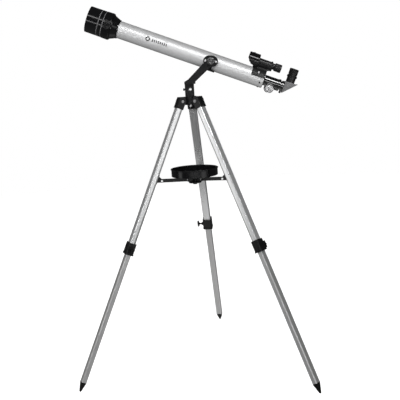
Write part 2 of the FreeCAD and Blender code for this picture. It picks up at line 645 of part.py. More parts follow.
def crown_lens():
    """Front element, convex both ways."""
    disc = rod(LENS_RADIUS, (CROWN_FRONT - 1, 0, 0), (LENS_SEAT, 0, 0))
    front = Part.makeSphere(CROWN_FRONT_CURVE, vec((CROWN_FRONT + CROWN_FRONT_CURVE, 0, 0)))
    rear = Part.makeSphere(INNER_CURVE, vec((CROWN_REAR - INNER_CURVE, 0, 0)))
    return disc.common(front).common(rear)


def flint_lens():
    """Rear element, hollow in front and flat behind."""
    disc = rod(LENS_RADIUS, (CROWN_REAR - 4, 0, 0), (LENS_SEAT, 0, 0))
    return disc.cut(Part.makeSphere(INNER_CURVE, vec((FLINT_FRONT - INNER_CURVE, 0, 0))))


def lens_retaining_ring():
    return tube(LENS_RADIUS + 0.1, 28.4, (-364, 0, 0), (-359.75, 0, 0))


def dew_shield():
    """Flared shade with two turned grooves and a raised rear band."""
    bore_step = CELL_FRONT - 4
    return lathe([(SHIELD_FRONT, 41.8), (SHIELD_FRONT + 0.8, SHIELD_RADIUS - 0.4),
                  (SHIELD_FRONT + 38, SHIELD_RADIUS - 0.2), (SHIELD_FRONT + 38, SHIELD_RADIUS - 0.9),
                  (SHIELD_FRONT + 40, SHIELD_RADIUS - 0.9), (SHIELD_FRONT + 40, SHIELD_RADIUS + 0.1),
                  (SHIELD_FRONT + 52, SHIELD_RADIUS + 0.1), (SHIELD_FRONT + 52, SHIELD_RADIUS - 0.9),
                  (SHIELD_FRONT + 54, SHIELD_RADIUS - 0.9), (SHIELD_FRONT + 54, SHIELD_RADIUS + 0.5),
                  (SHIELD_REAR - 3, SHIELD_RADIUS + 1.0), (SHIELD_REAR, SHIELD_RADIUS - 1.0),
                  (SHIELD_REAR, SHIELD_BORE), (bore_step, SHIELD_BORE), (bore_step, SHIELD_MOUTH_BORE),
                  (SHIELD_FRONT, SHIELD_MOUTH_BORE)])


def focuser_housing():
    """Plug in the tube, barrel for the draw tube, and the pinion block under it."""
    plug_radius = TUBE_RADIUS - TUBE_WALL
    throat = PLUG_FRONT + 14
    rim = HOUSING_REAR - 6.5
    barrel = lathe([(PLUG_FRONT, PLUG_BORE), (throat, PLUG_BORE), (throat + 4, HOUSING_BORE),
                    (HOUSING_REAR, HOUSING_BORE), (HOUSING_REAR, HOUSING_RIM_RADIUS - 0.6),
                    (HOUSING_REAR - 0.6, HOUSING_RIM_RADIUS), (rim, HOUSING_RIM_RADIUS),
                    (rim - 1, HOUSING_RADIUS), (TUBE_REAR + 4.0, HOUSING_RADIUS), (TUBE_REAR + 2.2, 19.5),
                    (TUBE_REAR + 2.0, 26.4), (TUBE_REAR + 1.2, 27.3), (TUBE_REAR, 27.3), (TUBE_REAR, plug_radius),
                    (PLUG_FRONT, plug_radius)])
    block = rounded(box((BLOCK_FRONT, BLOCK_REAR), (-11, 11), (-26, -8)), 3.0, (0, 1, 0))
    rail = rounded(box((BLOCK_FRONT, HOUSING_REAR - 1.5), (-8, 8), (-19.8, -8)), 1.5, (1, 0, 0))
    housing = joined(barrel, block, rail)
    housing = housing.cut(rod(HOUSING_BORE, (throat + 2, 0, 0), (HOUSING_REAR, 0, 0)))
    housing = housing.cut(box((throat + 2, HOUSING_REAR), (-3.2, 3.2), (-18.3, 0)))
    housing = housing.cut(rod(6.3, (PINION_X, -4.2, PINION_Z), (PINION_X, 4.2, PINION_Z)))
    housing = housing.cut(rod(SHAFT_RADIUS + 0.05, (PINION_X, -20, PINION_Z), (PINION_X, 20, PINION_Z)))
    return cut_all(housing, tube_screws()).removeSplitter()


def tooth_half_angle(radius):
    """Half the angle that an involute pinion tooth spans at a radius."""
    base = PITCH_RADIUS * math.cos(PRESSURE_ANGLE)
    pressure = math.acos(min(1.0, base / radius))
    at_pitch = math.pi * TOOTH_SHARE / PINION_TEETH
    return at_pitch + involute(PRESSURE_ANGLE) - involute(pressure)


def involute(angle):
    return math.tan(angle) - angle


def pinion_shaft():
    """Shaft with the pinion cut in its middle, one tooth pointing up at the rack."""
    root = PITCH_RADIUS - RACK_ADDENDUM - 0.3
    tip = PITCH_RADIUS + RACK_DEDENDUM - 0.35
    base = PITCH_RADIUS * math.cos(PRESSURE_ANGLE)
    steps = [base + (tip - base) * step / 5 for step in range(6)]
    outline = []
    for tooth in range(PINION_TEETH):
        middle = 2 * math.pi * tooth / PINION_TEETH
        flank = [(root, tooth_half_angle(base))] + [(radius, tooth_half_angle(radius)) for radius in steps]
        rising = [(radius, middle - half) for radius, half in flank]
        falling = [(radius, middle + half) for radius, half in reversed(flank)]
        outline += [(radius * math.sin(turn), radius * math.cos(turn)) for radius, turn in rising + falling]
    gear = slab(outline, (-PINION_HALF_WIDTH, PINION_HALF_WIDTH))
    reach = FOCUS_KNOB_OUTER - 3
    shaft = joined(gear, rod(SHAFT_RADIUS, (0, -reach, 0), (0, reach, 0)))
    return moved(shaft, (PINION_X, 0, PINION_Z))


def focus_knobs():
    """A turned metal knob pressed on each end of the pinion shaft."""
    knob = rod(FOCUS_KNOB_RADIUS, (0, FOCUS_KNOB_INNER + 3, 0), (0, FOCUS_KNOB_OUTER, 0))
    knob = knob.makeChamfer(1.0, [edge for edge in knob.Edges if edge.BoundBox.YLength < 0.01])
    knob = joined(knob, rod(7.5, (0, FOCUS_KNOB_INNER, 0), (0, FOCUS_KNOB_INNER + 4, 0)))
    knob = knob.cut(rod(SHAFT_RADIUS, (0, 0, 0), (0, FOCUS_KNOB_OUTER - 3, 0)))
    knob = knob.cut(Part.makeCone(9.0, 10.5, 1.2, vec((0, FOCUS_KNOB_OUTER - 1.2, 0)), vec((0, 1, 0))))
    return on_both_sides(moved(knob, (PINION_X, 0, PINION_Z)))


def rack():
    """Straight rack under the draw tube, with a gap over the pinion's top tooth."""
    pitch = math.pi * GEAR_MODULE
    lean = math.tan(PRESSURE_ANGLE)
    half = pitch * TOOTH_SHARE / 2
    root_z = RACK_PITCH_Z + RACK_DEDENDUM
    tip_z = RACK_PITCH_Z - RACK_ADDENDUM
    first = -23
    last = 4
    left = PINION_X + first * pitch
    right = PINION_X + (last + 1) * pitch
    bar = box((left, right), (-RACK_HALF_WIDTH, RACK_HALF_WIDTH), (root_z, RACK_BACKING))
    teeth = []
    for tooth in range(first, last + 1):
        middle = PINION_X + (tooth + 0.5) * pitch
        wide = half + RACK_DEDENDUM * lean
        narrow = half - RACK_ADDENDUM * lean
        side = [(middle - wide, root_z), (middle + wide, root_z),
                (middle + narrow, tip_z), (middle - narrow, tip_z)]
        teeth.append(slab(side, (-RACK_HALF_WIDTH, RACK_HALF_WIDTH)))
    return joined(bar, *teeth)


def draw_tube():
    """Draw tube with its moulded rack and the end collar that takes the diagonal."""
    body = lathe([(DRAW_TUBE_FRONT, DRAW_TUBE_BORE), (DRAW_TUBE_FRONT, DRAW_TUBE_RADIUS),
                  (COLLAR_FRONT, DRAW_TUBE_RADIUS), (COLLAR_FRONT, COLLAR_RADIUS),
                  (COLLAR_REAR - 0.8, COLLAR_RADIUS), (COLLAR_REAR, COLLAR_RADIUS - 0.8),
                  (COLLAR_REAR, SOCKET_BORE), (SOCKET_FRONT, SOCKET_BORE),
                  (SOCKET_FRONT - 2, DRAW_TUBE_BORE)])
    teeth = rack().cut(rod(DRAW_TUBE_RADIUS - 0.2, (DRAW_TUBE_FRONT, 0, 0), (COLLAR_FRONT, 0, 0)))
    hole = rod(1.55, (COLLAR_SCREW_X, 0, -SOCKET_BORE + 1), (COLLAR_SCREW_X, 0, -COLLAR_RADIUS))
    return joined(body, teeth).cut(hole)


def draw_tube_screw():
    """Small thumb screw that holds the diagonal in the draw tube."""
    x = COLLAR_SCREW_X
    return joined(rod(1.5, (x, 0, -BARREL_RADIUS - 0.4), (x, 0, -COLLAR_RADIUS - 1)),
                  rod(2.9, (x, 0, -COLLAR_RADIUS - 6.5), (x, 0, -COLLAR_RADIUS - 0.5)))


def tilted_plate(length, half_width, near, far):
    """A plate at 45 degrees behind the mirror line, between two offsets along the axis."""
    low = near / math.sqrt(2)
    high = far / math.sqrt(2)
    plate = box((MIRROR_X - length / 2, MIRROR_X + length / 2), (-half_width, half_width), (-high, -low))
    return turned(plate, (0, 1, 0), -45, (MIRROR_X, 0, 0))


def diagonal_mirror():
    return tilted_plate(34, 11.5, 0.0, DIAGONAL_WALL)


def diagonal_cover():
    """Overhanging plate that closes the back of the diagonal and backs the mirror."""
    plate = tilted_plate(56.5, DIAGONAL_HALF_WIDTH + 0.5, DIAGONAL_WALL, DIAGONAL_WALL + COVER_THICKNESS)
    return moved(plate, (COVER_SHIFT, 0, COVER_SHIFT))


def diagonal_housing():
    """Right-angled housing with a barrel for the draw tube and a socket for the eyepiece."""
    seat = MIRROR_X + DIAGONAL_WALL
    side = [(DIAGONAL_FRONT, DIAGONAL_FRONT - seat), (DIAGONAL_FRONT, DIAGONAL_TOP),
            (seat + DIAGONAL_TOP, DIAGONAL_TOP)]
    housing = slab(side, (-DIAGONAL_HALF_WIDTH, DIAGONAL_HALF_WIDTH))
    barrel = rod(BARREL_RADIUS, (DIAGONAL_BARREL_FRONT, 0, 0), (DIAGONAL_FRONT + 1, 0, 0))
    socket = rod(EYE_SOCKET_RADIUS, (MIRROR_X, 0, 12), (MIRROR_X, 0, EYE_SOCKET_TOP))
    rim = rod(EYE_SOCKET_RADIUS + 2.2, (MIRROR_X, 0, EYE_SOCKET_TOP - 3.5), (MIRROR_X, 0, EYE_SOCKET_TOP))
    housing = joined(housing, barrel, socket, rim)
    behind = slab([(seat - 40, -40), (seat + 60, 60), (seat + 60, -40)], (-REACH, REACH))
    path_in = rod(BARREL_BORE, (DIAGONAL_BARREL_FRONT, 0, 0), (MIRROR_X + 30, 0, 0))
    path_up = rod(BARREL_BORE, (MIRROR_X, 0, -30), (MIRROR_X, 0, EYEPIECE_BOTTOM))
    bore = rod(SOCKET_BORE, (MIRROR_X, 0, EYEPIECE_BOTTOM - 0.5), (MIRROR_X, 0, EYE_SOCKET_TOP))
    past_mirror = slab([(MIRROR_X - 40, -40), (MIRROR_X + 60, 60), (MIRROR_X + 60, -40)], (-REACH, REACH))
    chamber = path_in.fuse(path_up).cut(past_mirror)
    return housing.cut(behind).cut(chamber).cut(bore).cut(diagonal_mirror()).removeSplitter()


def eyepiece_barrel():
    """Barrel and grip of the eyepiece, bored through."""
    bottom = EYEPIECE_BOTTOM
    shoulder = EYEPIECE_SHOULDER
    top = EYEPIECE_TOP
    waist = EYEPIECE_RADIUS - 0.8
    return lathe_upright([(11.2, bottom), (BARREL_RADIUS, bottom), (BARREL_RADIUS, shoulder),
                          (16.6, shoulder), (16.6, shoulder + 2.5), (waist, shoulder + 3),
                          (waist, shoulder + 7.1), (EYEPIECE_RADIUS, shoulder + 7.6),
                          (EYEPIECE_RADIUS, top - 1), (EYEPIECE_RADIUS - 1, top), (10.5, top),
                          (EYE_LENS_RADIUS, top - 3.5), (EYE_LENS_RADIUS, top - 7),
                          (FIELD_LENS_RADIUS, top - 7), (FIELD_LENS_RADIUS, bottom + 12),
                          (11.2, bottom + 12)], MIRROR_X)


def bi_convex(radius, middle, edge, curve, axis):
    """A lens with two equal spherical faces, centred at a point and facing along an axis."""
    bulge = curve - math.sqrt(curve * curve - radius * radius)
    half = edge / 2 + bulge
    direction = vec(axis)
    disc = Part.makeCylinder(radius, 2 * half, vec(middle) - direction * half, direction)
    for side in (-1, 1):
        disc = disc.common(Part.makeSphere(curve, vec(middle) + direction * (side * (half - curve))))
    return disc


def eyepiece_lenses():
    """Field lens and eye lens."""
    return [bi_convex(FIELD_LENS_RADIUS, (MIRROR_X, 0, EYEPIECE_BOTTOM + 16), 2.0, 40.0, (0, 0, 1)),
            bi_convex(EYE_LENS_RADIUS, (MIRROR_X, 0, EYEPIECE_TOP - 5.4), 1.6, 30.0, (0, 0, 1))]


def finder_bracket():
    """Ring for the finder, a stem, and a saddle over the rear of the tube."""
    ring = lathe([(FINDER_RING_FRONT, FINDER_RING_RADIUS - 1), (FINDER_RING_FRONT + 1, FINDER_RING_RADIUS),
                  (FINDER_RING_REAR - 1, FINDER_RING_RADIUS), (FINDER_RING_REAR, FINDER_RING_RADIUS - 1),
                  (FINDER_RING_REAR, FINDER_RING_BORE), (FINDER_RING_FRONT, FINDER_RING_BORE)], FINDER_Z)
    front = FINDER_RING_FRONT
    rear = FINDER_CRADLE_REAR
    in_front = slab([(front - 5, FINDER_Z + 2), (front + 1.5, FINDER_Z + 2), (front + 7, FINDER_Z - 8),
                     (front + 22, FINDER_Z - 17), (front + 22, FINDER_Z - 30), (front - 5, FINDER_Z - 30)],
                    (-40, 40))
    ring = ring.cut(in_front)
    stem = slab([(FINDER_SADDLE_FRONT, 27), (front + 20, 36), (front + 18, 44), (rear, 44), (rear, 33),
                 (rear - 11, 31), (FINDER_SADDLE_REAR, 22)], (-9, 9))
    cradle = lathe([(FINDER_RING_REAR, FINDER_BODY_RADIUS), (rear, FINDER_BODY_RADIUS), (rear, 16.5),
                    (FINDER_RING_REAR, 18.5)], FINDER_Z)
    cradle = cradle.cut(box((-REACH, REACH), (-REACH, REACH), (FINDER_Z - 4, REACH)))
    saddle = rod(FINDER_SADDLE_RADIUS, (FINDER_SADDLE_FRONT, 0, 0), (FINDER_SADDLE_REAR, 0, 0))
    saddle = saddle.cut(box((-REACH, REACH), (-REACH, REACH), (-REACH, FINDER_SADDLE_LOW)))
    bracket = joined(ring, stem, cradle, saddle)
    bores = [rod(TUBE_RADIUS, (front, 0, 0), (rear, 0, 0)),
             rod(FINDER_RING_BORE, (front, 0, FINDER_Z), (FINDER_RING_REAR, 0, FINDER_Z)),
             rod(FINDER_BODY_RADIUS + 0.05, (FINDER_RING_REAR - 1, 0, FINDER_Z), (rear, 0, FINDER_Z)),
             rod(FINDER_BAND_RADIUS + 0.2, (FINDER_BAND_FRONT - 0.3, 0, FINDER_Z), (rear, 0, FINDER_Z))]
    bracket = cut_all(bracket, bores)
    return cut_all(bracket, finder_bolts() + finder_adjusters()).removeSplitter()


def finder_bolts():
    """Bolt and nut that hold the saddle, one at each side of the tube."""
    x = FINDER_BOLT_X
    bolt = joined(rod(1.6, (x, 0, TUBE_RADIUS - 3), (x, 0, FINDER_SADDLE_RADIUS + 3.2)),
                  rod(3.4, (x, 0, FINDER_SADDLE_RADIUS), (x, 0, FINDER_SADDLE_RADIUS + 2.4)))
    return [turned(bolt, (1, 0, 0), side * 58.0) for side in (-1, 1)]


def finder_adjusters():
    """Three screws that hold the finder's cell in the ring."""
    x = FINDER_ADJUSTER_X
    head_top = FINDER_RING_RADIUS + 1.0
    screw = joined(rod(1.5, (x, 0, FINDER_CELL_RADIUS), (x, 0, head_top)),
                   rod(2.6, (x, 0, FINDER_RING_RADIUS - 0.4), (x, 0, head_top)))
    return [moved(turned(screw, (1, 0, 0), turn), (0, 0, FINDER_Z)) for turn in (0.0, 120.0, -120.0)]


def finder_tube():
    """Objective cell, body and eyepiece of the finder in one turned shell."""
    band = FINDER_BAND_FRONT
    rear = FINDER_REAR
    return lathe([(FINDER_FRONT, FINDER_LENS_RADIUS), (FINDER_FRONT, FINDER_CELL_RADIUS),
                  (FINDER_RING_REAR - 4, FINDER_CELL_RADIUS), (FINDER_RING_REAR - 1.5, FINDER_BODY_RADIUS),
                  (band, FINDER_BODY_RADIUS), (band, FINDER_BAND_RADIUS), (band + 4.5, FINDER_BAND_RADIUS),
                  (band + 5, FINDER_BODY_RADIUS), (rear - 23, FINDER_BODY_RADIUS - 0.5), (rear - 22, 13.0),
                  (rear - 1, 13.4), (rear, 12.4), (rear, 9), (rear - 4, FINDER_EYE_RADIUS),
                  (rear - 8, FINDER_EYE_RADIUS), (rear - 8, 10), (FINDER_RING_REAR + 1, 10),
                  (FINDER_FRONT + 14, FINDER_LENS_RADIUS)], FINDER_Z)


def finder_lenses():
    """Objective and eye lens of the finder."""
    return [bi_convex(FINDER_LENS_RADIUS, (FINDER_FRONT + 10, 0, FINDER_Z), 1.8, 110.0, (1, 0, 0)),
            bi_convex(FINDER_EYE_RADIUS, (FINDER_REAR - 6, 0, FINDER_Z), 1.4, 30.0, (1, 0, 0))]


# --- Assembly ----------------------------------------------------------------------------------
def build_tripod():
    nodes["tripod_hub"] = tripod_hub()
    nodes["hinge_bolts"] = hinge_bolts()
    per_leg = {"leg_cap": leg_cap(), "upper_leg": upper_leg(), "lock_collar": lock_collar(),
               "lock_screw": lock_screw(), "lower_leg": lower_leg(), "brace_bracket": brace_bracket(),
               "leg_fasteners": leg_fasteners()}
    arm = brace_arm()
    for side, azimuth in LEG_AZIMUTHS.items():
        for name, shape in per_leg.items():
            nodes[name + "_" + side] = on_leg(shape, azimuth)
        nodes["leg_foot_" + side] = leg_foot(azimuth)
        nodes["brace_arm_" + side] = turned(arm, (0, 0, 1), azimuth)
    nodes["brace_hub"] = brace_hub()
    nodes["tray_screw"] = tray_screw()
    nodes["accessory_tray"] = accessory_tray()


def build_yoke():
    fasteners = plate_screws() + [centre_bolt(), column_bolt()]
    nodes["yoke_fork"] = cut_all(yoke_fork(), fasteners)
    nodes["altitude_plates"] = Part.makeCompound([cut_all(plate, fasteners) for plate in altitude_plates()])
    nodes["fork_fasteners"] = Part.makeCompound(fasteners)
    nodes["azimuth_lock_screw"] = azimuth_lock_screw()


def build_telescope():
    far_knob, near_knob = on_both_sides(altitude_knob())
    pieces = {
        "altitude_knob_near": near_knob,
        "altitude_knob_far": far_knob,
        "tube_saddle": tube_saddle(),
        "main_tube": main_tube(),
        "tube_screws": Part.makeCompound(tube_screws()),
        "objective_cell": objective_cell(),
        "crown_lens": crown_lens(),
        "flint_lens": flint_lens(),
        "lens_retaining_ring": lens_retaining_ring(),
        "dew_shield": dew_shield(),
        "focuser_housing": focuser_housing(),
        "pinion_shaft": pinion_shaft(),
        "focus_knobs": Part.makeCompound(focus_knobs()),
        "draw_tube": draw_tube(),
        "draw_tube_screw": draw_tube_screw(),
        "diagonal_housing": diagonal_housing(),
        "diagonal_mirror": diagonal_mirror(),
        "diagonal_cover": diagonal_cover(),
        "eyepiece_barrel": eyepiece_barrel(),
        "eyepiece_lenses": Part.makeCompound(eyepiece_lenses()),
        "finder_bracket": finder_bracket(),
        "finder_screws": Part.makeCompound(finder_bolts() + finder_adjusters()),
        "finder_tube": finder_tube(),
        "finder_lenses": Part.makeCompound(finder_lenses()),
    }
    for name, shape in pieces.items():
        nodes[name] = on_telescope(shape)


def floor_centre():
    """Middle of the whole model's box, at its lowest point."""
    bounds = Part.makeCompound(list(nodes.values())).optimalBoundingBox(False, False)
    return bounds.Center.x, bounds.Center.y, bounds.ZMin


def export():
    os.makedirs("parts", exist_ok=True)
    centre = floor_centre()
    for name, shape in nodes.items():
        placed = moved(shape, (-centre[0], -centre[1], -centre[2]))
        placed.exportStep("parts/" + name + ".step")
    print(len(nodes), "nodes, hub axis at", round(-centre[0], 3), round(-centre[1], 3), round(-centre[2], 4))


build_tripod()
build_yoke()
build_telescope()
export()
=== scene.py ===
import json
import math

import bmesh
import bpy
from mathutils import Matrix, Vector


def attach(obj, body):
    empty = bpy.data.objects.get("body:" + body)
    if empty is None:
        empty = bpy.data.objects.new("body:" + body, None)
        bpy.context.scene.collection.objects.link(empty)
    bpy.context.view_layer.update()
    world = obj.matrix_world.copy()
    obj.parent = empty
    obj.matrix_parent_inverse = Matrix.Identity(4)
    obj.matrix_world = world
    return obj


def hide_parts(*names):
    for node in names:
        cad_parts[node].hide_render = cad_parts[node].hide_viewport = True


# A small refracting telescope on an altitude-azimuth yoke and a folding aluminium tripod.
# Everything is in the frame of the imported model, in metres, with the outlines of turned pieces in
# millimetres. The CAD nodes keep their shapes and get finished materials. Pieces with turned
# profiles, knurls, flutes or tapers are built again here, and the brace hub gets cheeks for its arms.

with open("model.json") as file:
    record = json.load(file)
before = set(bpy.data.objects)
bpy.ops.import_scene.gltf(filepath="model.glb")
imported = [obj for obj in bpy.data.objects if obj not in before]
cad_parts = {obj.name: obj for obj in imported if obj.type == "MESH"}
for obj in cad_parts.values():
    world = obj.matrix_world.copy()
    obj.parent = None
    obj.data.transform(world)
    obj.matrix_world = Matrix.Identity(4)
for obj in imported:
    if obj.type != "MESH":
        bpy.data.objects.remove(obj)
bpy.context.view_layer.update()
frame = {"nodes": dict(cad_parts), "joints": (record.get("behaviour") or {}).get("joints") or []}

NODES = frame["nodes"]
JOINTS = {joint["name"]: joint for joint in frame["joints"]}
SIDES = ("left", "right", "back")
MM = 0.001


# --- Frames of the moving parts ----------------------------------------------------------------
def axes_at(origin, x_axis, y_axis):
    """A frame with its own X and Y axes at a point. Z follows from them."""
    x = Vector(x_axis).normalized()
    y = Vector(y_axis).normalized()
    matrix = Matrix((x, y, x.cross(y))).transposed().to_4x4()
    matrix.translation = Vector(origin)
    return matrix


def extent(node, matrix):
    """Lowest and highest corner of a CAD node in another frame."""
    inverse = matrix.inverted()
    points = [inverse @ vertex.co for vertex in NODES[node].data.vertices]
    lows = Vector([min(point[k] for point in points) for k in range(3)])
    highs = Vector([max(point[k] for point in points) for k in range(3)])
    return lows, highs


def middle(node, matrix):
    """Middle of a CAD node's box in another frame."""
    lows, highs = extent(node, matrix)
    return (lows + highs) / 2


def span(node, matrix):
    """Start and end along Z, and reach along X, of a CAD node in a frame, in millimetres."""
    lows, highs = extent(node, matrix)
    return lows.z / MM, highs.z / MM, highs.x / MM


# Telescope: Z runs back along the tube from the altitude axis, X points up, Y to the near side.
BACK = Vector(JOINTS["focus_slide"]["axis"])
UP = Vector((0, 1, 0)).cross(BACK) * -1
TUBE = axes_at(JOINTS["altitude_tilt"]["pos_m"], UP, (0, -1, 0))

# Legs: Z runs up the leg, Y along its hinge bolt, X outwards. The origin is the hinge.
LEG = {}
for side in SIDES:
    fold = JOINTS["leg_fold_" + side]
    along = Vector(JOINTS["leg_extension_" + side]["axis"])
    LEG[side] = axes_at(fold["pos_m"], Vector(fold["axis"]).cross(along), fold["axis"])

# Brace hub: parallel to the whole, at the middle of the hub's box.
HUB = Matrix.Translation(middle("brace_hub", Matrix.Identity(4)))


# --- Materials ---------------------------------------------------------------------------------
class Graph:
    """A material's node tree, with short ways to add and link nodes."""

    MIX_INPUTS = (0, 6, 7)          # factor, first and second colour of a colour mix node
    MIX_RESULT = 2

    def __init__(self, name):
        self.material = bpy.data.materials.new(name)
        self.material.use_nodes = True
        self.tree = self.material.node_tree
        self.tree.nodes.clear()
        self.output = self.add("ShaderNodeOutputMaterial")

    def add(self, kind, settings=None, **inputs):
        """Add a node, with its settings, and link or set its inputs by name."""
        node = self.tree.nodes.new(kind)
        for name, value in (settings or {}).items():
            setattr(node, name, value)
        for name, value in inputs.items():
            socket = node.inputs[name.replace("_", " ")]
            if isinstance(value, bpy.types.NodeSocket):
                self.tree.links.new(value, socket)
            else:
                socket.default_value = value
        return node

    def coordinates(self, frame_matrix=None, stretch=(1, 1, 1)):
        """Object coordinates, turned into a part's own frame and stretched."""
        source = self.add("ShaderNodeTexCoord").outputs["Object"]
        if frame_matrix is not None:
            turn = frame_matrix.to_3x3().inverted().to_euler()
            source = self.add("ShaderNodeMapping", Vector=source, Rotation=turn).outputs["Vector"]
        return self.add("ShaderNodeMapping", Vector=source, Scale=stretch).outputs["Vector"]

    def along(self, direction):
        """How far a point lies along a direction, in object coordinates."""
        node = self.add("ShaderNodeVectorMath", {"operation": "DOT_PRODUCT"})
        self.tree.links.new(self.add("ShaderNodeTexCoord").outputs["Object"], node.inputs[0])
        node.inputs[1].default_value = direction
        return node.outputs["Value"]

    def noise(self, vector, scale, detail, roughness=0.55):
        """Cloudy noise at a number of features per metre."""
        node = self.add("ShaderNodeTexNoise", Vector=vector, Scale=scale, Detail=detail)
        node.inputs["Roughness"].default_value = roughness
        return node.outputs["Fac"]

    def spread(self, factor, low, high, start=0.3, end=0.7):
        """A factor's middle range spread between two values."""
        node = self.add("ShaderNodeMapRange", Value=factor)
        for name, value in (("From Min", start), ("From Max", end), ("To Min", low), ("To Max", high)):
            node.inputs[name].default_value = value
        return node.outputs["Result"]

    def shades(self, factor, dark, light, start=0.3, end=0.7):
        """A grey or coloured ramp between two shades."""
        ramp = self.add("ShaderNodeValToRGB", Fac=factor)
        ramp.color_ramp.elements[0].position = start
        ramp.color_ramp.elements[0].color = (*dark, 1)
        ramp.color_ramp.elements[1].position = end
        ramp.color_ramp.elements[1].color = (*light, 1)
        return ramp.outputs["Color"]

    def blend(self, factor, first, second):
        """One colour or another, by a factor."""
        node = self.add("ShaderNodeMix", {"data_type": "RGBA"})
        for socket, source in zip(self.MIX_INPUTS, (factor, first, second)):
            self.tree.links.new(source, node.inputs[socket])
        return node.outputs[self.MIX_RESULT]

    def times(self, first, second):
        """Two colours multiplied."""
        node = self.add("ShaderNodeVectorMath", {"operation": "MULTIPLY"})
        self.tree.links.new(first, node.inputs[0])
        self.tree.links.new(second, node.inputs[1])
        return node.outputs["Vector"]

    def bump(self, height, distance, normal=None):
        """Surface relief of a given depth, on top of another where there is one."""
        node = self.add("ShaderNodeBump", Height=height, Distance=distance)
        if normal is not None:
            self.tree.links.new(normal, node.inputs["Normal"])
        return node.outputs["Normal"]

    def surface(self, shader):
        """Put a shader on the material's output, which finishes the material."""
        self.tree.links.new(shader.outputs[0], self.output.inputs["Surface"])
        return self.material


def tint(colour, factor):
    """A colour made lighter or darker."""
    return tuple(min(1.0, channel * factor) for channel in colour)


def moulded(name, colour, roughness, grain_size, grain_depth, spread=0.12, gloss=0.0, coat_ior=1.5,
            specular=0.35):
    """Moulded plastic: surface grain, faint flow marks and rubbed patches. Gloss is a clear coat."""
    graph = Graph(name)
    place = graph.coordinates()
    grain = graph.noise(place, 1 / grain_size, detail=2.0)
    flow = graph.noise(place, 45.0, detail=4.0)
    rubbed = graph.noise(place, 14.0, detail=5.0, roughness=0.65)
    tone = graph.shades(flow, tint(colour, 0.82), tint(colour, 1.25))
    normal = graph.bump(grain, grain_depth)
    normal = graph.bump(flow, grain_depth * 2, normal)
    rough = graph.spread(rubbed, roughness - spread / 2, roughness + spread / 2)
    shader = graph.add("ShaderNodeBsdfPrincipled", Base_Color=tone, Normal=normal, Roughness=rough)
    shader.inputs["Coat Weight"].default_value = gloss
    shader.inputs["Coat Roughness"].default_value = 0.08
    shader.inputs["Coat IOR"].default_value = coat_ior
    shader.inputs["Specular IOR Level"].default_value = specular
    return graph.surface(shader)


def painted(name, colour, roughness, metallic, peel_depth=0.00002, specular=0.5):
    """Sprayed paint: fine flake, orange peel and soft variation in gloss."""
    graph = Graph(name)
    place = graph.coordinates()
    flake = graph.noise(place, 900.0, detail=1.0)
    peel = graph.noise(place, 160.0, detail=1.0)
    cloud = graph.noise(place, 9.0, detail=4.0, roughness=0.6)
    tone = graph.shades(flake, tint(colour, 0.96), tint(colour, 1.04), 0.35, 0.65)
    shader = graph.add("ShaderNodeBsdfPrincipled", Base_Color=tone, Metallic=metallic,
                       Roughness=graph.spread(cloud, roughness - 0.01, roughness + 0.01),
                       Normal=graph.bump(peel, peel_depth))
    shader.inputs["Specular IOR Level"].default_value = specular
    return graph.surface(shader)


def drawn_metal(name, colour, roughness, metallic, frame_matrix, band=None):
    """Extruded aluminium: die lines along the length, faint cross wear and handling marks.

    A band is (edge, shade): further in than the edge, in the leg's own frame, the colour is darkened as
    painted shade.
    """
    graph = Graph(name)
    lines = graph.noise(graph.coordinates(frame_matrix, (1500, 1500, 5)), 1.0, detail=2.0)
    broad = graph.noise(graph.coordinates(frame_matrix, (260, 260, 3)), 1.0, detail=2.0)
    marks = graph.noise(graph.coordinates(), 22.0, detail=6.0, roughness=0.7)
    tone = graph.shades(broad, tint(colour, 0.93), tint(colour, 1.06))
    # Painted shade: the colour is darkened on the inner side of the leg, from the band's edge inwards.
    if band:
        edge, shade = band
        outwards = frame_matrix.col[0].to_3d()
        place = frame_matrix.translation.dot(outwards) + edge
        blur = 0.8 * MM
        outer = graph.spread(graph.along(outwards), 0.0, 1.0, place - blur, place + blur)
        tone = graph.times(tone, graph.shades(outer, (shade,) * 3, (1.0,) * 3, 0.0, 1.0))
    rough = graph.spread(marks, roughness - 0.06, roughness + 0.07)
    normal = graph.bump(lines, 0.000002)
    normal = graph.bump(broad, 0.000006, normal)
    shader = graph.add("ShaderNodeBsdfPrincipled", Base_Color=tone, Roughness=rough, Metallic=metallic,
                       Normal=normal)
    return graph.surface(shader)


def plated(name, colour, roughness, metallic=1.0):
    """Plated or blackened steel with faint stains and fine scratches across the Y direction."""
    graph = Graph(name)
    place = graph.coordinates()
    scratch = graph.noise(graph.coordinates(None, (900, 3500, 900)), 1.0, detail=2.0)
    stain = graph.noise(place, 180.0, detail=4.0)
    tone = graph.shades(stain, tint(colour, 0.85), tint(colour, 1.1))
    shader = graph.add("ShaderNodeBsdfPrincipled", Base_Color=tone, Metallic=metallic,
                       Roughness=graph.spread(stain, roughness - 0.06, roughness + 0.08),
                       Normal=graph.bump(scratch, 0.00001))
    return graph.surface(shader)


def lathe_turned(name, colour, roughness):
    """A face turned on a lathe: concentric tool marks and a highlight drawn out into cones."""
    graph = Graph(name)
    place = graph.coordinates()
    rings = graph.add("ShaderNodeTexWave", {"wave_type": "RINGS", "rings_direction": "Z"},
                      Vector=place, Scale=900.0, Distortion=0.4)
    stain = graph.noise(place, 240.0, detail=4.0)
    tone = graph.shades(stain, tint(colour, 0.97), tint(colour, 1.03))
    rough = graph.spread(stain, roughness - 0.02, roughness + 0.02)
    normal = graph.bump(rings.outputs["Fac"], 0.000002)
    tangent = graph.add("ShaderNodeTangent", {"direction_type": "RADIAL", "axis": "Z"})
    shader = graph.add("ShaderNodeBsdfPrincipled", Metallic=1.0, Base_Color=tone, Roughness=rough,
                       Normal=normal, Tangent=tangent.outputs["Tangent"])
    shader.inputs["Anisotropic"].default_value = 0.8
    return graph.surface(shader)


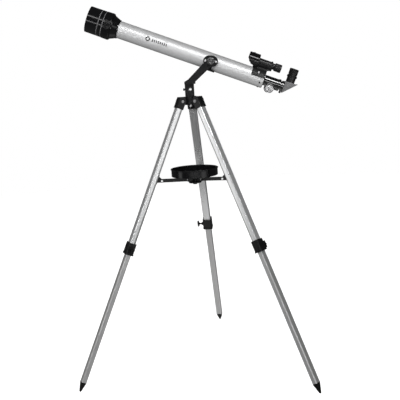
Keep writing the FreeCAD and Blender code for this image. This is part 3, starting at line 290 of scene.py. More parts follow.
def two_part(name, direction, edge, first, second, grain_depth=0.00006):
    """Two finishes parted at a distance along a direction from the altitude axis.

    Each finish is (colour, roughness, metallic).
    """
    graph = Graph(name)
    place = graph.coordinates()
    start = TUBE.translation.dot(direction) + edge
    part = graph.spread(graph.along(direction), 0.0, 1.0, start, start + 0.2 * MM)
    grain = graph.noise(place, 1500.0, detail=2.0)
    flow = graph.noise(place, 60.0, detail=4.0)
    tones = [graph.shades(flow, tint(colour, 0.85), tint(colour, 1.15)) for colour, _, _ in (first, second)]
    shader = graph.add("ShaderNodeBsdfPrincipled", Base_Color=graph.blend(part, *tones),
                       Roughness=graph.spread(part, first[1], second[1], 0.0, 1.0),
                       Metallic=graph.spread(part, first[2], second[2], 0.0, 1.0),
                       Normal=graph.bump(grain, grain_depth))
    return graph.surface(shader)


def glass(name, colour):
    """Coated optical glass with a trace of dust."""
    clean = 0.01
    dusty = 0.06
    graph = Graph(name)
    dust = graph.noise(graph.coordinates(), 900.0, detail=5.0)
    shader = graph.add("ShaderNodeBsdfPrincipled", Base_Color=(*colour, 1),
                       Roughness=graph.spread(dust, clean, dusty, 0.55, 0.75),
                       Normal=graph.bump(dust, 0.000002))
    shader.inputs["Transmission Weight"].default_value = 1.0
    shader.inputs["IOR"].default_value = 1.52
    shader.inputs["Coat Weight"].default_value = 0.6
    shader.inputs["Coat Tint"].default_value = (0.8, 0.84, 0.9, 1)
    return graph.surface(shader)


TUBE_SILVER = painted("tube_silver", (0.58, 0.583, 0.587), 0.42, 0.5, peel_depth=0.000001)
BLACK_PLASTIC = moulded("black_plastic", (0.004, 0.004, 0.0043), 0.34, 0.0007, 0.00003)
GLOSS_BLACK = moulded("gloss_black_plastic", (0.0026, 0.0026, 0.003), 0.14, 0.003, 0.000003, 0.04,
                      gloss=0.1, specular=0.5)
GRIP_PLASTIC = moulded("grip_plastic", (0.003, 0.003, 0.0033), 0.2, 0.0006, 0.00001, 0.1)
KNOB_PLASTIC = moulded("knob_plastic", (0.016, 0.016, 0.0165), 0.24, 0.003, 0.000001, 0.06,
                       gloss=1.0, coat_ior=2.2)
BLACK_LACQUER = moulded("black_lacquer", (0.003, 0.003, 0.0033), 0.2, 0.003, 0.000005, 0.04,
                        gloss=1.0, coat_ior=2.1)
TRAY_PLASTIC = moulded("tray_plastic", (0.003, 0.003, 0.0033), 0.22, 0.0011, 0.00001, 0.08, gloss=0.2)
FINDER_PLASTIC = moulded("finder_plastic", (0.009, 0.009, 0.0093), 0.3, 0.0008, 0.00002, 0.1)
FOOT_PLASTIC = moulded("foot_plastic", (0.003, 0.003, 0.003), 0.45, 0.0012, 0.00004, 0.2, specular=0.2)
# Grey plastic: the diagonal's cover, and the dew shield's groove bottoms, where it is a painted highlight.
GREY_PLASTIC_AND_GROOVE_HIGHLIGHT = moulded("grey_plastic", (0.1, 0.1, 0.102), 0.5, 0.0006, 0.00012, 0.12, specular=0.5)
RUBBER = moulded("eyepiece_rubber", (0.005, 0.005, 0.005), 0.3, 0.0006, 0.00002, 0.1)
BLACK_ENAMEL = painted("black_enamel", (0.005, 0.005, 0.0053), 0.42, 0.0, specular=0.25)
SCREW_STEEL = plated("screw_steel", (0.8, 0.8, 0.81), 0.28, 0.7)
DULL_STEEL = plated("dull_steel", (0.3, 0.3, 0.305), 0.34, 0.7)
BLACK_SCREW = plated("black_screw", (0.02, 0.02, 0.021), 0.34, 0.3)
TURNED_METAL = lathe_turned("turned_metal", (0.7, 0.7, 0.71), 0.4)
LENS_GLASS = glass("lens_glass", (0.9, 0.93, 0.95))
MIRROR_GLASS = plated("mirror_glass", (0.92, 0.92, 0.93), 0.08)
MARK_INK = moulded("mark_ink", (0.012, 0.012, 0.0125), 0.45, 0.0005, 0.000005, 0.05)

# Painted shade on the inner side of the front legs, darker from an edge inwards: (edge, shade).
INNER_PAINTED_SHADE = {"left": (-0.0035, 0.36), "right": (-0.0055, 0.22), "back": None}
UPPER_SHADE = (0.88, 0.885, 0.89)
# Grey of the lower legs: the common tone is the metal's own, and the differences between the legs are
# painted shade, the back leg darkest.
LOWER_TONE_AND_PAINTED_SHADE = {"left": 0.62, "right": 0.6, "back": 0.55}
UPPER_ALUMINIUM = {}
LOWER_ALUMINIUM = {}
for side in SIDES:
    UPPER_ALUMINIUM[side] = drawn_metal("leg_aluminium_" + side, UPPER_SHADE, 0.3, 0.8, LEG[side],
                                        INNER_PAINTED_SHADE[side])
    LOWER_ALUMINIUM[side] = drawn_metal("lower_leg_aluminium_" + side, (LOWER_TONE_AND_PAINTED_SHADE[side],) * 3,
                                        0.34, 0.75, LEG[side])

# Parts with two finishes, parted at a height above the altitude axis or a distance behind it.
DIAGONAL_TOP = 0.0192
FINDER_RING_LOW = 0.046
FINDER_RING_REAR = 0.142
DIAGONAL_PLASTIC = two_part("diagonal_plastic", UP, DIAGONAL_TOP, ((0.1, 0.1, 0.102), 0.55, 0.0),
                            ((0.005, 0.005, 0.0053), 0.3, 0.0))
BRACKET_PLASTIC = two_part("bracket_plastic", UP, FINDER_RING_LOW, ((0.006, 0.006, 0.0063), 0.5, 0.0),
                           ((0.003, 0.003, 0.0033), 0.14, 0.0), 0.000004)
FINDER_SCREW = two_part("finder_screw", BACK, FINDER_RING_REAR, ((0.01, 0.01, 0.0103), 0.35, 0.0),
                        ((0.8, 0.8, 0.81), 0.28, 0.7))

FINISH = {
    "tripod_hub": BLACK_PLASTIC, "hinge_bolts": DULL_STEEL, "brace_hub": BLACK_PLASTIC,
    "tray_screw": BLACK_PLASTIC, "accessory_tray": TRAY_PLASTIC, "yoke_fork": BLACK_ENAMEL,
    "altitude_plates": BLACK_ENAMEL, "fork_fasteners": SCREW_STEEL, "azimuth_lock_screw": SCREW_STEEL,
    "altitude_knob_near": BLACK_PLASTIC, "altitude_knob_far": BLACK_PLASTIC, "tube_saddle": BLACK_ENAMEL,
    "main_tube": TUBE_SILVER, "tube_screws": BLACK_ENAMEL, "objective_cell": GLOSS_BLACK,
    "crown_lens": LENS_GLASS, "flint_lens": LENS_GLASS, "lens_retaining_ring": BLACK_PLASTIC,
    "dew_shield": GLOSS_BLACK, "focuser_housing": BLACK_LACQUER, "pinion_shaft": SCREW_STEEL,
    "focus_knobs": TURNED_METAL, "draw_tube": BLACK_LACQUER, "draw_tube_screw": BLACK_SCREW,
    "diagonal_housing": DIAGONAL_PLASTIC, "diagonal_mirror": MIRROR_GLASS, "diagonal_cover": GREY_PLASTIC_AND_GROOVE_HIGHLIGHT,
    "eyepiece_barrel": BLACK_PLASTIC, "eyepiece_lenses": LENS_GLASS, "finder_bracket": BRACKET_PLASTIC,
    "finder_screws": FINDER_SCREW, "finder_tube": FINDER_PLASTIC, "finder_lenses": LENS_GLASS,
}
for side in SIDES:
    FINISH["leg_cap_" + side] = BLACK_PLASTIC
    FINISH["upper_leg_" + side] = UPPER_ALUMINIUM[side]
    FINISH["lock_collar_" + side] = BLACK_PLASTIC
    FINISH["lock_screw_" + side] = BLACK_PLASTIC
    FINISH["lower_leg_" + side] = LOWER_ALUMINIUM[side]
    FINISH["leg_foot_" + side] = FOOT_PLASTIC
    FINISH["brace_bracket_" + side] = BLACK_PLASTIC
    FINISH["leg_fasteners_" + side] = SCREW_STEEL
    FINISH["brace_arm_" + side] = BLACK_PLASTIC
for name, material in FINISH.items():
    mesh_object = NODES[name]
    if not mesh_object.material_slots:
        mesh_object.data.materials.append(material)
    for material_slot in mesh_object.material_slots:
        material_slot.material = material


# --- Mesh helpers ------------------------------------------------------------------------------
def finished(name, mesh, material, body, matrix, replaced=()):
    """Put a mesh in the scene as a piece that rides on a body and may stand for CAD nodes."""
    for polygon in mesh.polygons:
        polygon.use_smooth = True
    mesh.materials.append(material)
    piece = bpy.data.objects.new(name, mesh)
    bpy.context.scene.collection.objects.link(piece)
    piece.matrix_world = matrix
    weighted = piece.modifiers.new("normals", "WEIGHTED_NORMAL")
    weighted.keep_sharp = True
    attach(piece, body)
    if replaced:
        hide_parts(*replaced)
    return piece


def eased(outline, radius, steps=3):
    """Round the corners of a closed outline of (along, radius, flute depth) points."""
    result = []
    count = len(outline)
    for index, (z, r, depth) in enumerate(outline):
        corner = Vector((z, r))
        before = Vector(outline[index - 1][:2]) - corner
        after = Vector(outline[(index + 1) % count][:2]) - corner
        cut = min(radius, before.length * 0.45, after.length * 0.45)
        start = corner + before.normalized() * cut
        end = corner + after.normalized() * cut
        for step in range(steps + 1):
            t = step / steps
            point = start * (1 - t) ** 2 + corner * 2 * t * (1 - t) + end * t ** 2
            result.append((point.x, point.y, depth))
    return result


def join_rings(mesh, ring, following):
    """Faces between two closed rings of vertices. A ring may be one vertex repeated."""
    for index in range(len(ring)):
        after = (index + 1) % len(ring)
        corners = dict.fromkeys((ring[index], ring[after], following[after], following[index]))
        if len(corners) > 2:
            mesh.faces.new(list(corners))


def closed_mesh(name, mesh):
    """Mesh data of a finished closed shape, with its faces looking outwards."""
    bmesh.ops.recalc_face_normals(mesh, faces=mesh.faces)
    data = bpy.data.meshes.new(name)
    mesh.to_mesh(data)
    mesh.free()
    return data


def break_edges(piece, width, sharp):
    """Bevel the edges that turn by more than an angle in degrees, so that they catch the light."""
    edge = piece.modifiers.new("edges", "BEVEL")
    edge.width = width
    edge.segments = 2
    edge.limit_method = "ANGLE"
    edge.angle_limit = math.radians(sharp)
    edge.harden_normals = True


def turned_mesh(name, outline, segments, flutes=0, roundness=1.0):
    """Turn a closed outline about Z. Points with a flute depth are drawn in between the ribs."""
    mesh = bmesh.new()
    rings = []
    for z, r, depth in outline:
        if r < 1e-6:
            rings.append([mesh.verts.new((0, 0, z))] * segments)
            continue
        ring = []
        for index in range(segments):
            angle = 2 * math.pi * index / segments
            wave = abs(math.cos(flutes * angle / 2)) ** roundness if flutes else 1.0
            radius = r - depth * (1 - wave)
            ring.append(mesh.verts.new((radius * math.cos(angle), radius * math.sin(angle), z)))
        rings.append(ring)
    for ring, following in zip(rings, rings[1:] + rings[:1]):
        join_rings(mesh, ring, following)
    return closed_mesh(name, mesh)


def plain(points, depth=0.0):
    """Give a list of (along, radius) points one flute depth, in millimetres."""
    return [(z * MM, r * MM, depth * MM) for z, r in points]


def axis_frame(origin, direction, side):
    """A frame with Z along a part's turning axis and X to one side."""
    z = Vector(direction).normalized()
    return axes_at(origin, side, z.cross(Vector(side)))


# --- Pieces that are turned about an axis ------------------------------------------------------
NEAR = Vector((0, -1, 0))


def main_tube():
    """Thin rolled tube with its edges broken, drawn with a fine round section."""
    front, rear, radius = span("main_tube", TUBE)
    bore = radius - 1.0
    outline = plain([(front, bore), (front, radius), (rear, radius), (rear, bore)])
    mesh = turned_mesh("main_tube_round", eased(outline, 0.3 * MM, 2), 256)
    finished("main_tube_round", mesh, TUBE_SILVER, "telescope", TUBE, ["main_tube"])


def dew_shield():
    """Shield with two grooves, lighter grey in their bottoms as a painted highlight, and a fluted grip band
    at its rear.
    """
    front, rear, reach = span("dew_shield", TUBE)
    radius = reach - 1.0
    bore = radius - 1.2
    collar_bore = radius - 1.75
    step = rear - 38.2
    grip = 58.0
    flute_depth = 0.22
    grooves = ((37.6, -0.2, 0.0), (51.4, 0.0, 0.3))     # place, rise of the wall before and behind
    outline = plain([(front, bore), (front, radius - 0.5)])
    for groove, before, behind in grooves:
        start = front + groove
        outline += plain([(start, radius + before), (start + 0.6, radius - 0.8),
                          (start + 2.4, radius - 0.8), (start + 3.0, radius + behind)])
    outline += plain([(front + grip - 0.6, radius + 0.5)])
    outline += plain([(front + grip + 1.2, radius + 0.6), (rear - 4.4, radius + 0.9)], flute_depth)
    outline += plain([(rear - 2.6, radius + 0.7), (rear, radius - 0.8), (rear, collar_bore),
                      (step, collar_bore), (step, bore)])
    mesh = turned_mesh("dew_shield_turned", eased(outline, 0.4 * MM, 2), 288, flutes=72, roundness=0.8)
    finished("dew_shield_turned", mesh, GLOSS_BLACK, "dew_shield", TUBE,
             ["dew_shield"])
    mesh.materials.append(GRIP_PLASTIC)
    mesh.materials.append(GREY_PLASTIC_AND_GROOVE_HIGHLIGHT)
    for polygon in mesh.polygons:
        along = polygon.center.z / MM - front
        if along > grip:
            polygon.material_index = 1
        # Groove bottoms take the grey plastic as a painted highlight of the grooves.
        elif any(groove + 0.4 < along < groove + 2.6 for groove, _, _ in grooves):
            polygon.material_index = 2


def focus_knobs():
    """A turned knob with a knurled edge and a dished face on each end of the pinion shaft."""
    length = 13.5
    bore = 2.05
    boss = 7.3
    knurl = 0.35
    for name, direction in (("near", NEAR), ("far", -NEAR)):
        place = axis_frame(JOINTS["focus_knob_turn"]["pos_m"], direction, BACK)
        _, outer, radius = span("focus_knobs", place)
        inner = outer - length
        socket = outer - 2.9
        outline = plain([(inner, bore), (inner, boss), (inner + 2.7, boss + 0.2),
                         (inner + 3.0, radius - 1.0)])
        outline += plain([(inner + 3.8, radius), (outer - 1.6, radius)], knurl)
        outline += plain([(outer - 0.8, radius - 0.8), (outer, radius - 1.6), (outer, radius - 2.6),
                          (outer - 0.5, radius - 3.2), (outer - 0.9, 0), (socket, 0), (socket, bore)])
        mesh = turned_mesh("focus_knob_" + name, eased(outline, 0.3 * MM, 2), 240, flutes=60)
        replaced = ["focus_knobs"] if name == "near" else ()
        finished("focus_knob_" + name, mesh, TURNED_METAL, "focus_pinion", place, replaced)


def altitude_knobs():
    """Six-lobed clamp knobs with a hollow in the middle, on their studs."""
    stud = 2.95
    boss = 9.8
    lobes = 6
    hollow = 2.7                        # depth between the lobes, less on the front edge
    front_hollow = 2.0
    for name, direction in (("near", NEAR), ("far", -NEAR)):
        node = "altitude_knob_" + name
        place = axis_frame(JOINTS["altitude_tilt"]["pos_m"], direction, BACK)
        start, outer, radius = span(node, place)
        inner = outer - 11.4
        outline = plain([(start, 0), (start, stud), (inner, stud), (inner, boss),
                         (inner + 0.8, radius - 1.6)])
        outline += plain([(inner + 2.0, radius), (outer - 2.4, radius)], hollow)
        outline += plain([(outer - 0.8, radius - 1.3), (outer, radius - 3.2)], front_hollow)
        outline += plain([(outer, 6.6), (outer - 1.4, 5.6), (outer - 1.8, 3.6), (outer - 1.0, 3.0),
                          (outer - 1.0, 0)])
        mesh = turned_mesh(node + "_lobed", eased(outline, 0.7 * MM, 3), 192, flutes=lobes, roundness=0.8)
        finished(node + "_lobed", mesh, KNOB_PLASTIC, "knob_" + name, place, [node])


def eyepiece():
    """Eyepiece body with a stepped collar and a ribbed grip."""
    barrel = 12.25
    barrel_bore = 11.2
    collar = 16.6
    neck = 14.2
    grip = 15.0
    ribs = 0.55
    eye_hole = 8.0
    lens_seat = 9.1
    centre = middle("eyepiece_barrel", TUBE)
    place = axis_frame(TUBE @ Vector((0, 0, centre.z)), UP, BACK)
    bottom, top, _ = span("eyepiece_barrel", place)
    shoulder = top - 25.1
    outline = plain([(bottom, barrel_bore), (bottom, barrel), (shoulder, barrel), (shoulder, collar),
                     (shoulder + 2.5, collar), (shoulder + 3.2, neck), (shoulder + 6.9, neck),
                     (shoulder + 7.6, grip), (shoulder + 9.0, grip)])
    outline += plain([(shoulder + 9.8, grip), (top - 4.2, grip)], ribs)
    outline += plain([(top - 3.4, grip), (top - 1.2, grip), (top, grip - 1.0), (top, 10.5),
                      (top - 3.4, eye_hole), (top - 7.0, eye_hole), (top - 7.2, lens_seat),
                      (bottom + 12.2, lens_seat), (bottom + 12, barrel_bore)])
    mesh = turned_mesh("eyepiece_turned", eased(outline, 0.4 * MM, 2), 216, flutes=36)
    finished("eyepiece_turned", mesh, RUBBER, "eyepiece", place,
             ["eyepiece_barrel"])


def finder_tube():
    """Finder with its front cell, a locking ring and a ribbed eyepiece."""
    cell_radius = 16.0
    cell_bore = 13.4
    body = 12.5
    ring = 14.3
    neck = 10.0
    ocular = 13.4
    ribs = 0.5
    eye_hole = 6.55
    bore = 8.5
    centre = middle("finder_tube", TUBE)
    place = axis_frame(TUBE @ Vector((centre.x, 0, 0)), BACK, UP)
    front, rear, _ = span("finder_tube", place)
    cell = front + 9.0
    band = front + 71.0
    outline = plain([(cell, cell_bore), (cell, cell_radius - 0.6), (cell + 0.6, cell_radius),
                     (front + 25.6, cell_radius), (front + 28.6, body), (band, body)])
    outline += plain([(band + 0.1, ring), (band + 4.5, ring)], ribs)
    outline += plain([(band + 4.6, body), (band + 6.0, neck + 0.4), (rear - 23.6, neck),
                      (rear - 22, ocular - 0.4)])
    outline += plain([(rear - 21.2, ocular - 0.2), (rear - 9.0, ocular - 0.1)], ribs)
    outline += plain([(rear - 8.0, ocular), (rear - 1, ocular), (rear, ocular - 1.0), (rear, 9),
                      (rear - 4, eye_hole), (rear - 8, eye_hole), (rear - 8, bore),
                      (front + 31, bore), (front + 14.2, cell_bore)])
    mesh = turned_mesh("finder_turned", eased(outline, 0.4 * MM, 2), 216, flutes=36)
    finished("finder_turned", mesh, FINDER_PLASTIC, "telescope", place, ["finder_tube"])


def tray():
    """Round dish with a rolled rim, a ringed floor and a raised centre."""
    bottom, top, radius = span("accessory_tray", HUB)
    dish = radius - 18.0
    shoulder = bottom + 4.0
    inside = bottom + 2.4
    rib_top = bottom + 3.2
    boss_top = bottom + 6.0
    outline = plain([(bottom, 0), (bottom, dish - 1.5), (bottom + 0.5, dish),
                     (shoulder, radius - 2.2), (top - 3.6, radius - 2), (top - 2.6, radius),
                     (top - 0.9, radius), (top, radius - 0.9), (top, radius - 3.4),
                     (top - 1.0, radius - 4.4), (shoulder + 1.6, radius - 4.6), (bottom + 2.8, dish - 1.2)])
    for part in (0.78, 0.55, 0.32):
        rib = dish * part
        outline += plain([(inside, rib + 1.6), (rib_top, rib + 1.0), (rib_top, rib), (inside, rib - 0.6)])
    outline += plain([(inside, 13.5), (bottom + 5.4, 11.6), (boss_top, 10.8), (boss_top, 0)])
    mesh = turned_mesh("tray_turned", eased(outline, 0.8 * MM, 3), 192)
    finished("tray_turned", mesh, TRAY_PLASTIC, "tray", HUB, ["accessory_tray"])


def small_screws():
    """Knurled heads of the tray's thumb screw, the azimuth lock and the draw tube's screw."""
    up = Vector((0, 0, 1))
    along = Vector((1, 0, 0))
    # Node, body, slot, material, direction, side, head length, shank radius, flutes, flute depth.
    screws = (
        ("tray_screw", "tray_screw", "black_plastic", BLACK_PLASTIC, -up, along, 4.5, 2.5, 16, 0.9),
        ("azimuth_lock_screw", "azimuth_lock", "screw_steel", BLACK_SCREW, -along, up, 5.0, 2.0, 24, 0.4),
        ("draw_tube_screw", "draw_tube_screw", "turned_metal", BLACK_SCREW, -UP, BACK, 6.0, 1.5, 24, 0.35))
    for node, body, slot, material, direction, side, head, shank, flutes, depth in screws:
        place = axis_frame(middle(node, Matrix.Identity(4)), direction, side)
        start, end, radius = span(node, place)
        neck = end - head
        outline = plain([(start, 0), (start, shank), (neck, shank), (neck, radius - 0.5)])
        outline += plain([(neck + 0.5, radius), (end - 0.8, radius)], depth)
        outline += plain([(end, radius - 0.9), (end, 0)])
        mesh = turned_mesh(node + "_knurled", eased(outline, 0.3 * MM, 2), 192, flutes=flutes)
        finished(node + "_knurled", mesh, material, body, place, [node])


# --- Brace lugs and feet -----------------------------------------------------------------------
def cheek_outline(hub_low, pivot, height):
    """Side view of a cheek, (outwards, up): a foot on the hub plate and a rounded end."""
    foot = 0.0085
    plate_top = hub_low + 0.0054
    end_length = 0.0052
    end_height = 0.0048
    steps = 12
    outline = [(foot, height + 0.0030), (foot, plate_top), (0.0178, plate_top), (0.0205, hub_low + 0.0030)]
    for step in range(steps + 1):
        angle = math.radians(-75 + 165 * step / steps)
        outline.append((pivot + end_length * math.cos(angle), height + end_height * math.sin(angle)))
    return outline


def brace_lugs():
    """Cheeks and rivet heads on the brace hub that hold the inner ends of the arms."""
    pivot = 0.030                       # from the hub's axis out to the rivet
    gap = 0.0049                        # from the arm's middle plane to a cheek
    cheek = 0.0020                      # thickness of a cheek
    hub_low = extent("brace_hub", HUB)[0].z
    height = hub_low + 0.0132           # of the rivet
    outline = cheek_outline(hub_low, pivot, height)
    rivet_radius = 2.6
    rivet_start = (gap + cheek) / MM - 0.3
    rivet_end = rivet_start + 1.4
    rivet = eased(plain([(rivet_start, 0), (rivet_start, rivet_radius), (rivet_end, rivet_radius),
                         (rivet_end, 0)]), 0.6 * MM)
    for side in SIDES:
        outwards = LEG[side].col[0].to_3d()
        outwards.z = 0
        outwards.normalize()
        across = Vector((0, 0, 1)).cross(outwards)
        place = axes_at(HUB.translation, outwards, across)
        mesh = bmesh.new()
        for sign in (-1, 1):
            inner = [mesh.verts.new((x, sign * gap, z)) for x, z in outline]
            outer = [mesh.verts.new((x, sign * (gap + cheek), z)) for x, z in outline]
            mesh.faces.new(inner)
            mesh.faces.new(outer)
            join_rings(mesh, inner, outer)
        name = "brace_lugs_" + side
        piece = finished(name, closed_mesh(name, mesh), BLACK_PLASTIC, "brace_hub", place)
        break_edges(piece, 0.3 * MM, 30)
        centre = place @ Vector((pivot, 0, height))
        for end, direction in (("near", -across), ("far", across)):
            finished("brace_rivet_%s_%s" % (side, end), turned_mesh("brace_rivet", rivet, 48), DULL_STEEL,
                     "brace_hub", axis_frame(centre, direction, outwards))


def rounded_ring(mesh, centre, height, half_x, half_y, power):
    """A closed ring of vertices, from round at power 2 to nearly square at power 4."""
    steps = 64
    ring = []
    for step in range(steps):
        angle = 2 * math.pi * step / steps
        x = math.copysign(abs(math.cos(angle)) ** (2 / power), math.cos(angle)) * half_x
        y = math.copysign(abs(math.sin(angle)) ** (2 / power), math.sin(angle)) * half_y
        ring.append(mesh.verts.new((centre.x + x, centre.y + y, height)))
    return ring


def feet():
    """Plastic feet that taper straight from the lower leg's section to a blunt round tip."""
    plug = 0.70                         # size of the plug inside the leg, as a part of the foot's
    blunt = 0.0035                      # how far the tip ends short of the CAD foot's
    for side in SIDES:
        low, high = extent("leg_foot_" + side, LEG[side])
        centre = (low + high) / 2
        half = (high - low) / 2
        top = extent("lower_leg_" + side, LEG[side])[0].z
        tip = low.z + blunt
        mesh = bmesh.new()
        rings = []
        for height, scale, power in ((top + 0.006, plug, 4), (top + 0.0001, plug, 4), (top, 0.94, 4),
                                     (top - 0.001, 0.97, 4), (top - 0.004, 0.95, 3.6)):
            rings.append(rounded_ring(mesh, centre, height, half.x * scale, half.y * scale, power))
        for height, scale in ((tip + 0.003, 0.33), (tip + 0.0008, 0.27), (tip, 0.16)):
            rings.append(rounded_ring(mesh, centre, height, half.y * scale * 0.9, half.y * scale, 2))
        for ring, following in zip(rings, rings[1:]):
            join_rings(mesh, ring, following)
        mesh.faces.new(rings[0])
        mesh.faces.new(rings[-1])
        name = "leg_foot_%s_tapered" % side
        finished(name, closed_mesh(name, mesh), FOOT_PLASTIC, "lower_leg_" + side,
                 LEG[side], ["leg_foot_" + side])


main_tube()
feet()
brace_lugs()
dew_shield()
focus_knobs()
altitude_knobs()
eyepiece()
finder_tube()
tray()
small_screws()


# --- Printed mark ------------------------------------------------------------------------------
def tube_mark():
    """A plain printed ring and a row of ticks on the side of the tube."""
    mark_height = 0.002                 # above the tube's middle
    ring_place = -0.214                 # along the tube, from the altitude axis
    ring_outer = 0.0076
    ring_inner = 0.0040
    first_tick = -0.199
    tick_pitch = 0.0066
    tick_width = 0.0030
    tall_tick = 0.0052                  # every third one
    short_tick = 0.0042
    radius = extent("main_tube", TUBE)[1].y
    layers = (radius - 0.05 * MM, radius + 0.12 * MM)
    mesh = bmesh.new()

    def on_tube(along, height, layer):
        """A vertex on the tube's side, at a height measured round the tube."""
        angle = height / radius
        return mesh.verts.new((layer * math.sin(angle), layer * math.cos(angle), along))

    def band(pairs, closed):
        """A strip between pairs of (along, height) points, with a small thickness."""
        sections = []
        for first, second in pairs:
            sections.append([on_tube(*first, layers[0]), on_tube(*second, layers[0]),
                             on_tube(*second, layers[1]), on_tube(*first, layers[1])])
        following = sections[1:] + sections[:1] if closed else sections[1:]
        for section, after in zip(sections, following):
            join_rings(mesh, section, after)
        if not closed:
            mesh.faces.new(sections[0])
            mesh.faces.new(sections[-1])

    circle = []
    for step in range(48):
        angle = 2 * math.pi * step / 48
        circle.append([(ring_place + reach * math.cos(angle), mark_height + reach * math.sin(angle))
                       for reach in (ring_outer, ring_inner)])
    band(circle, True)
    for tick in range(8):
        start = first_tick + tick_pitch * tick
        half = short_tick if tick % 3 else tall_tick
        heights = [mark_height + half * step / 4 for step in range(-4, 5)]
        band([((start, height), (start + tick_width, height)) for height in heights], False)
    finished("tube_mark", closed_mesh("tube_mark", mesh), MARK_INK, "telescope", TUBE)


tube_mark()


# --- Softened edges of moulded and cast CAD parts ----------------------------------------------
EDGE_WIDTHS = {"tripod_hub": 0.4, "yoke_fork": 0.4, "altitude_plates": 0.4, "finder_bracket": 0.4,
               "diagonal_cover": 0.4}
for side in SIDES:
    EDGE_WIDTHS["leg_cap_" + side] = 0.5
    EDGE_WIDTHS["lock_collar_" + side] = 0.5
    EDGE_WIDTHS["brace_bracket_" + side] = 0.4
    EDGE_WIDTHS["brace_arm_" + side] = 0.4
for name, width in EDGE_WIDTHS.items():
    break_edges(NODES[name], width * MM, 40)


# --- Stage, light and camera -------------------------------------------------------------------
def floor():
    """Pale round floor that fades out into the backdrop."""
    radius = 9.0
    fade_start = 1.2
    fade_end = 4.5
    mesh = bmesh.new()
    bmesh.ops.create_circle(mesh, cap_ends=True, segments=96, radius=radius)
    data = bpy.data.meshes.new("floor")
    mesh.to_mesh(data)
    mesh.free()
    piece = bpy.data.objects.new("floor", data)
    bpy.context.scene.collection.objects.link(piece)
    graph = Graph("floor_pale")
    distance = graph.add("ShaderNodeVectorMath", {"operation": "LENGTH"})
    graph.tree.links.new(graph.coordinates(), distance.inputs[0])
    fade = graph.spread(distance.outputs["Value"], 0.0, 1.0, fade_start, fade_end)
    pale = graph.add("ShaderNodeBsdfDiffuse", Color=(0.8, 0.8, 0.8, 1))
    lift = graph.add("ShaderNodeEmission", Color=(1, 1, 1, 1), Strength=0.62)
    lit = graph.add("ShaderNodeAddShader")
    graph.tree.links.new(pale.outputs[0], lit.inputs[0])
    graph.tree.links.new(lift.outputs[0], lit.inputs[1])
    clear = graph.add("ShaderNodeBsdfTransparent")
    mix = graph.add("ShaderNodeMixShader", Fac=fade)
    graph.tree.links.new(lit.outputs[0], mix.inputs[1])
    graph.tree.links.new(clear.outputs[0], mix.inputs[2])
    data.materials.append(graph.surface(mix))
    piece.visible_glossy = False
    piece.visible_diffuse = False


def soft_light(name, location, target, size, radiance, seen=True):
    """A rectangular soft box facing a point. One that isn't seen lights only the soft shading."""
    data = bpy.data.lights.new(name, "AREA")
    data.shape = "RECTANGLE"
    data.size, data.size_y = size
    data.energy = radiance * math.pi * size[0] * size[1]
    light = bpy.data.objects.new(name, data)
    bpy.context.scene.collection.objects.link(light)
    light.location = location
    light.rotation_euler = (Vector(target) - Vector(location)).to_track_quat("-Z", "Y").to_euler()
    light.visible_glossy = seen
    light.visible_camera = False


FILL = 0.12         # brightness of the surround for soft shading
# The surround as it is reflected: (height from straight down at 0 to straight up at 1, brightness).
SURROUND = ((0.0, 0.17), (0.12, 0.14), (0.3, 0.07), (0.5, 0.035), (0.6, 0.04), (1.0, 0.05))


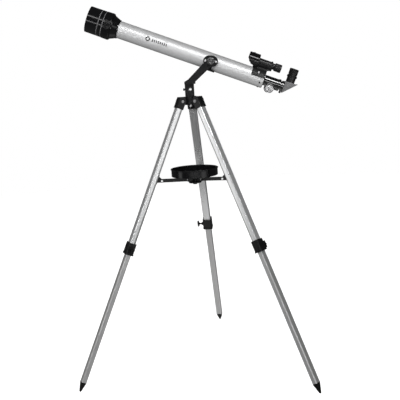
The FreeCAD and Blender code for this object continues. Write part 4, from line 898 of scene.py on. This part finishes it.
def backdrop():
    """White behind the object, an even soft fill, and a dark surround for what it reflects."""
    world = bpy.data.worlds.new("studio")
    bpy.context.scene.world = world
    world.use_nodes = True
    tree = world.node_tree
    tree.nodes.clear()

    def shade(level):
        """A grey background."""
        node = tree.nodes.new("ShaderNodeBackground")
        node.inputs["Color"].default_value = (level, level, level, 1)
        return node

    def choose(factor, first, second):
        """One background or another, by a kind of ray."""
        node = tree.nodes.new("ShaderNodeMixShader")
        tree.links.new(factor, node.inputs["Fac"])
        tree.links.new(first.outputs[0], node.inputs[1])
        tree.links.new(second.outputs[0], node.inputs[2])
        return node

    path = tree.nodes.new("ShaderNodeLightPath")
    place = tree.nodes.new("ShaderNodeTexCoord")
    split = tree.nodes.new("ShaderNodeSeparateXYZ")
    height = tree.nodes.new("ShaderNodeMapRange")
    height.inputs["From Min"].default_value = -1.0
    ramp = tree.nodes.new("ShaderNodeValToRGB")
    stops = ramp.color_ramp.elements
    for stop, (position, level) in zip(stops, (SURROUND[0], SURROUND[-1])):
        stop.position = position
        stop.color = (level, level, level, 1)
    for position, level in SURROUND[1:-1]:
        stops.new(position).color = (level, level, level, 1)
    surround = shade(1)
    tree.links.new(place.outputs["Generated"], split.inputs[0])
    tree.links.new(split.outputs["Z"], height.inputs["Value"])
    tree.links.new(height.outputs["Result"], ramp.inputs["Fac"])
    tree.links.new(ramp.outputs["Color"], surround.inputs["Color"])
    unseen = choose(path.outputs["Is Glossy Ray"], shade(FILL), surround)
    chosen = choose(path.outputs["Is Camera Ray"], unseen, shade(1.0))
    output = tree.nodes.new("ShaderNodeOutputWorld")
    tree.links.new(chosen.outputs[0], output.inputs["Surface"])


def camera():
    """Camera in front of the tripod, looking slightly down, placed from the hub's axis."""
    aside = 0.0616
    distance = 2.3088
    height = 1.0036
    yaw = math.radians(-1.22)
    pitch = math.radians(-10.21)
    roll = math.radians(-3.44)
    forward = Vector((math.sin(yaw) * math.cos(pitch), math.cos(yaw) * math.cos(pitch), math.sin(pitch)))
    level = Vector((math.cos(yaw), -math.sin(yaw), 0))
    upright = level.cross(forward)
    right = level * math.cos(roll) + upright * math.sin(roll)
    data = bpy.data.cameras.new("camera")
    data.lens = 62.45
    data.sensor_width = 36.0
    camera_object = bpy.data.objects.new("camera", data)
    bpy.context.scene.collection.objects.link(camera_object)
    placed = Matrix((right, right.cross(forward), -forward)).transposed().to_4x4()
    placed.translation = Vector((HUB.translation.x + aside, HUB.translation.y - distance, height))
    camera_object.matrix_world = placed
    bpy.context.scene.camera = camera_object


floor()
backdrop()
soft_light("front_key", (-0.3, -4.0, 2.4), (0, 0, 0.8), (3.2, 1.5), 9.0, seen=False)
soft_light("left_key", (-2.8, -3.0, 0.9), (-0.2, 0, 1.1), (1.2, 1.2), 13.0, seen=False)
soft_light("front_strip_left", (-1.0, -2.55, 2.8), (0, 0, 1.0), (2.0, 0.42), 5.0)
soft_light("front_strip_right", (1.2, -2.4, 2.9), (0, 0, 1.0), (2.1, 0.42), 15.0)
soft_light("front_low", (0.1, -3.6, 0.5), (0, 0, 0.9), (3.6, 0.24), 6.0)
soft_light("left_card", (-3.1, -0.85, 0.5), (0, 0, 0.5), (1.3, 1.5), 1.2)
soft_light("right_card", (2.3, -2.3, 0.5), (0, 0, 0.5), (1.3, 1.5), 1.2)
soft_light("floor_bounce", (0.0, 0.05, 0.005), (0.0, 0.05, 1.0), (0.9, 0.7), 0.34)
soft_light("rear_key", (0.2, 4.2, 2.4), (0, 0, 0.9), (3.0, 1.2), 9.0, seen=False)
camera()
bpy.context.scene.view_settings.view_transform = "Standard"
